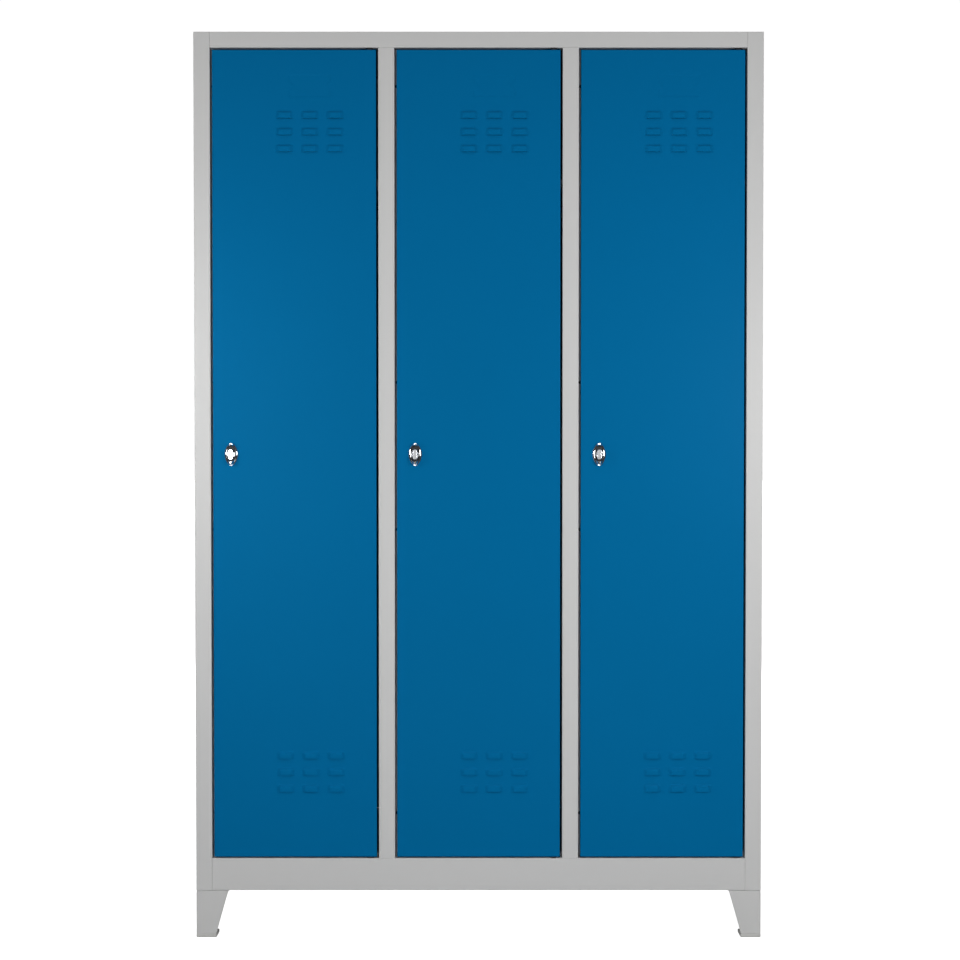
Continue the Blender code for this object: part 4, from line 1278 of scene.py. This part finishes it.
heads = {  # radius and height of each turn, for a head one wide and one high
    "weld": ((0.5, 0), (0.44, 0.55), (0.30, 1.0), (0.16, 0.8), (0, 0.7)),
    "buffer": ((0.5, 0), (0.5, 0.45), (0.42, 0.85), (0.22, 1.0), (0, 1.0)),
    "screw": ((0.5, 0), (0.5, 0.35), (0.44, 0.7), (0.30, 0.95), (0.2, 1.0), (0.17, 0.4), (0, 0.4)),
}
fixing = {
    "weld": {"diameter": 0.0055, "height": 0.00018, "spacing": 0.11},
    "buffer": {"diameter": 0.0066, "height": 0.0016, "levels": (0.26, 0.86, 1.17, 1.79),
               "fromEdge": 0.004, "behindFront": 0.022},
    "screw": {"diameter": 0.0072, "height": 0.0022},
}


def fixingPiece(name, kind, places, body, slotName):
    # places is a list of (point, direction the head faces)
    bm = bmesh.new()
    addLathe(bm, heads[kind], 12)
    head = makePiece("head", bm, smoothAngle=50)
    base = bpy.data.meshes.new("places")
    base.from_pydata([point for point, facing in places], [], [])
    facing = base.attributes.new("facing", "FLOAT_VECTOR", "POINT")
    facing.data.foreach_set("vector", [value for point, way in places for value in way])
    host = placeObject("host", base)
    mesh = runTree(host, fixingField, {
        "Head": head, "Diameter": fixing[kind]["diameter"], "Height": fixing[kind]["height"],
        "Finish": finishes[slotFinish[slotName]]})
    bpy.data.objects.remove(host)
    bpy.data.objects.remove(head)
    return handOver(placeObject(name, mesh), body, slotName)


def weldColumn(x, y, low, high, way):
    count = max(2, round((high - low) / fixing["weld"]["spacing"]))
    return [((x, y, low + (high - low) * i / count), way) for i in range(count + 1)]


rearward, frontward = (0, 1, 0), (0, -1, 0)
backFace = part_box("back_panel")[1].y
rearWelds = []
for side in ("left_side_panel", "right_side_panel"):
    low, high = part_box(side)
    edge = low.x + 0.0085 if side.startswith("left") else high.x - 0.0085
    rearWelds += weldColumn(edge, carcassBack, low.z + 0.09, high.z - 0.06, rearward)
for mullion in ("left_middle_partition", "middle_right_partition"):
    low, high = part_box(mullion)
    rearWelds += weldColumn(low.x + 0.006, backFace, low.z + 0.06, high.z - 0.06, rearward)
fixingPiece("rear_spot_welds", "weld", rearWelds, "carcass", "body_grey")

buffers = []
for post in ("left_side_panel", "left_middle_mullion", "middle_right_mullion"):
    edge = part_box(post)[1].x - fixing["buffer"]["fromEdge"]
    depth = carcassFront + fixing["buffer"]["behindFront"]
    buffers += [((edge, depth, level), frontward) for level in fixing["buffer"]["levels"]]
fixingPiece("door_buffers", "buffer", buffers, "carcass", "black_nylon")

for bay in bays:
    low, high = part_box(f"{bay}_door_stiffener")
    welds = []
    for x in (low.x + 0.0048, high.x - 0.0048):
        welds += weldColumn(x, carcassFront + 0.0019, low.z + 0.03, high.z - 0.03, rearward)
    fixingPiece(f"{bay}_stiffener_welds", "weld", welds, f"{bay}_door", "door_blue")


railSocket = {
    "flangeWide": 0.024, "flangeHigh": 0.050, "flange": 0.0018, "collarWide": 0.0192,
    "collarHigh": 0.0342, "collar": 0.0026, "bore": 0.0156, "boreHigh": 0.0306, "reach": 0.0050,
    "railGap": 0.0012, "screwOut": 0.0203,
}


def makeRailSockets(bay):
    # a cup at each end of the clothes rail, screwed to the wall
    low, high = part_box(f"{bay}_clothes_rail")
    y, z = (low.y + high.y) / 2, (low.z + high.z) / 2
    bm = bmesh.new()
    screws = []
    face, reach, gap = railSocket["flange"], railSocket["reach"], railSocket["railGap"]
    outline = (
        ("flangeWide", "flangeHigh", 0.0), ("flangeWide", "flangeHigh", face - 0.0005),
        ("flangeWide", "flangeHigh", face), ("collarWide", "collarHigh", railSocket["collar"]),
        ("collarWide", "collarHigh", reach), ("bore", "boreHigh", reach), ("bore", "boreHigh", 0.0),
    )
    for wall, way in ((low.x - gap, 1), (high.x + gap, -1)):
        rings = []
        for wide, tall, out in outline:
            draw = 0.0006 if out == face else 0
            x = wall + way * out
            rings.append(stadiumRing(railSocket[wide] - draw, railSocket[tall] - draw, 28,
                                     lambda a, b, x=x: Vector((x, y + a, z + b))))
        addLoft(bm, rings, closed=True)
        for side in (-1, 1):
            place = (wall + way * face, y, z + side * railSocket["screwOut"])
            screws.append((place, (way, 0, 0)))
    sockets = makePiece(f"{bay}_rail_sockets", bm, "greyPlastic", 35)
    handOver(sockets, "carcass", "grey_plastic")
    fixingPiece(f"{bay}_rail_screws", "screw", screws, "carcass", "zinc_plate")


for bay in bays:
    makeRailSockets(bay)
print("welds, buffers and screws in place")
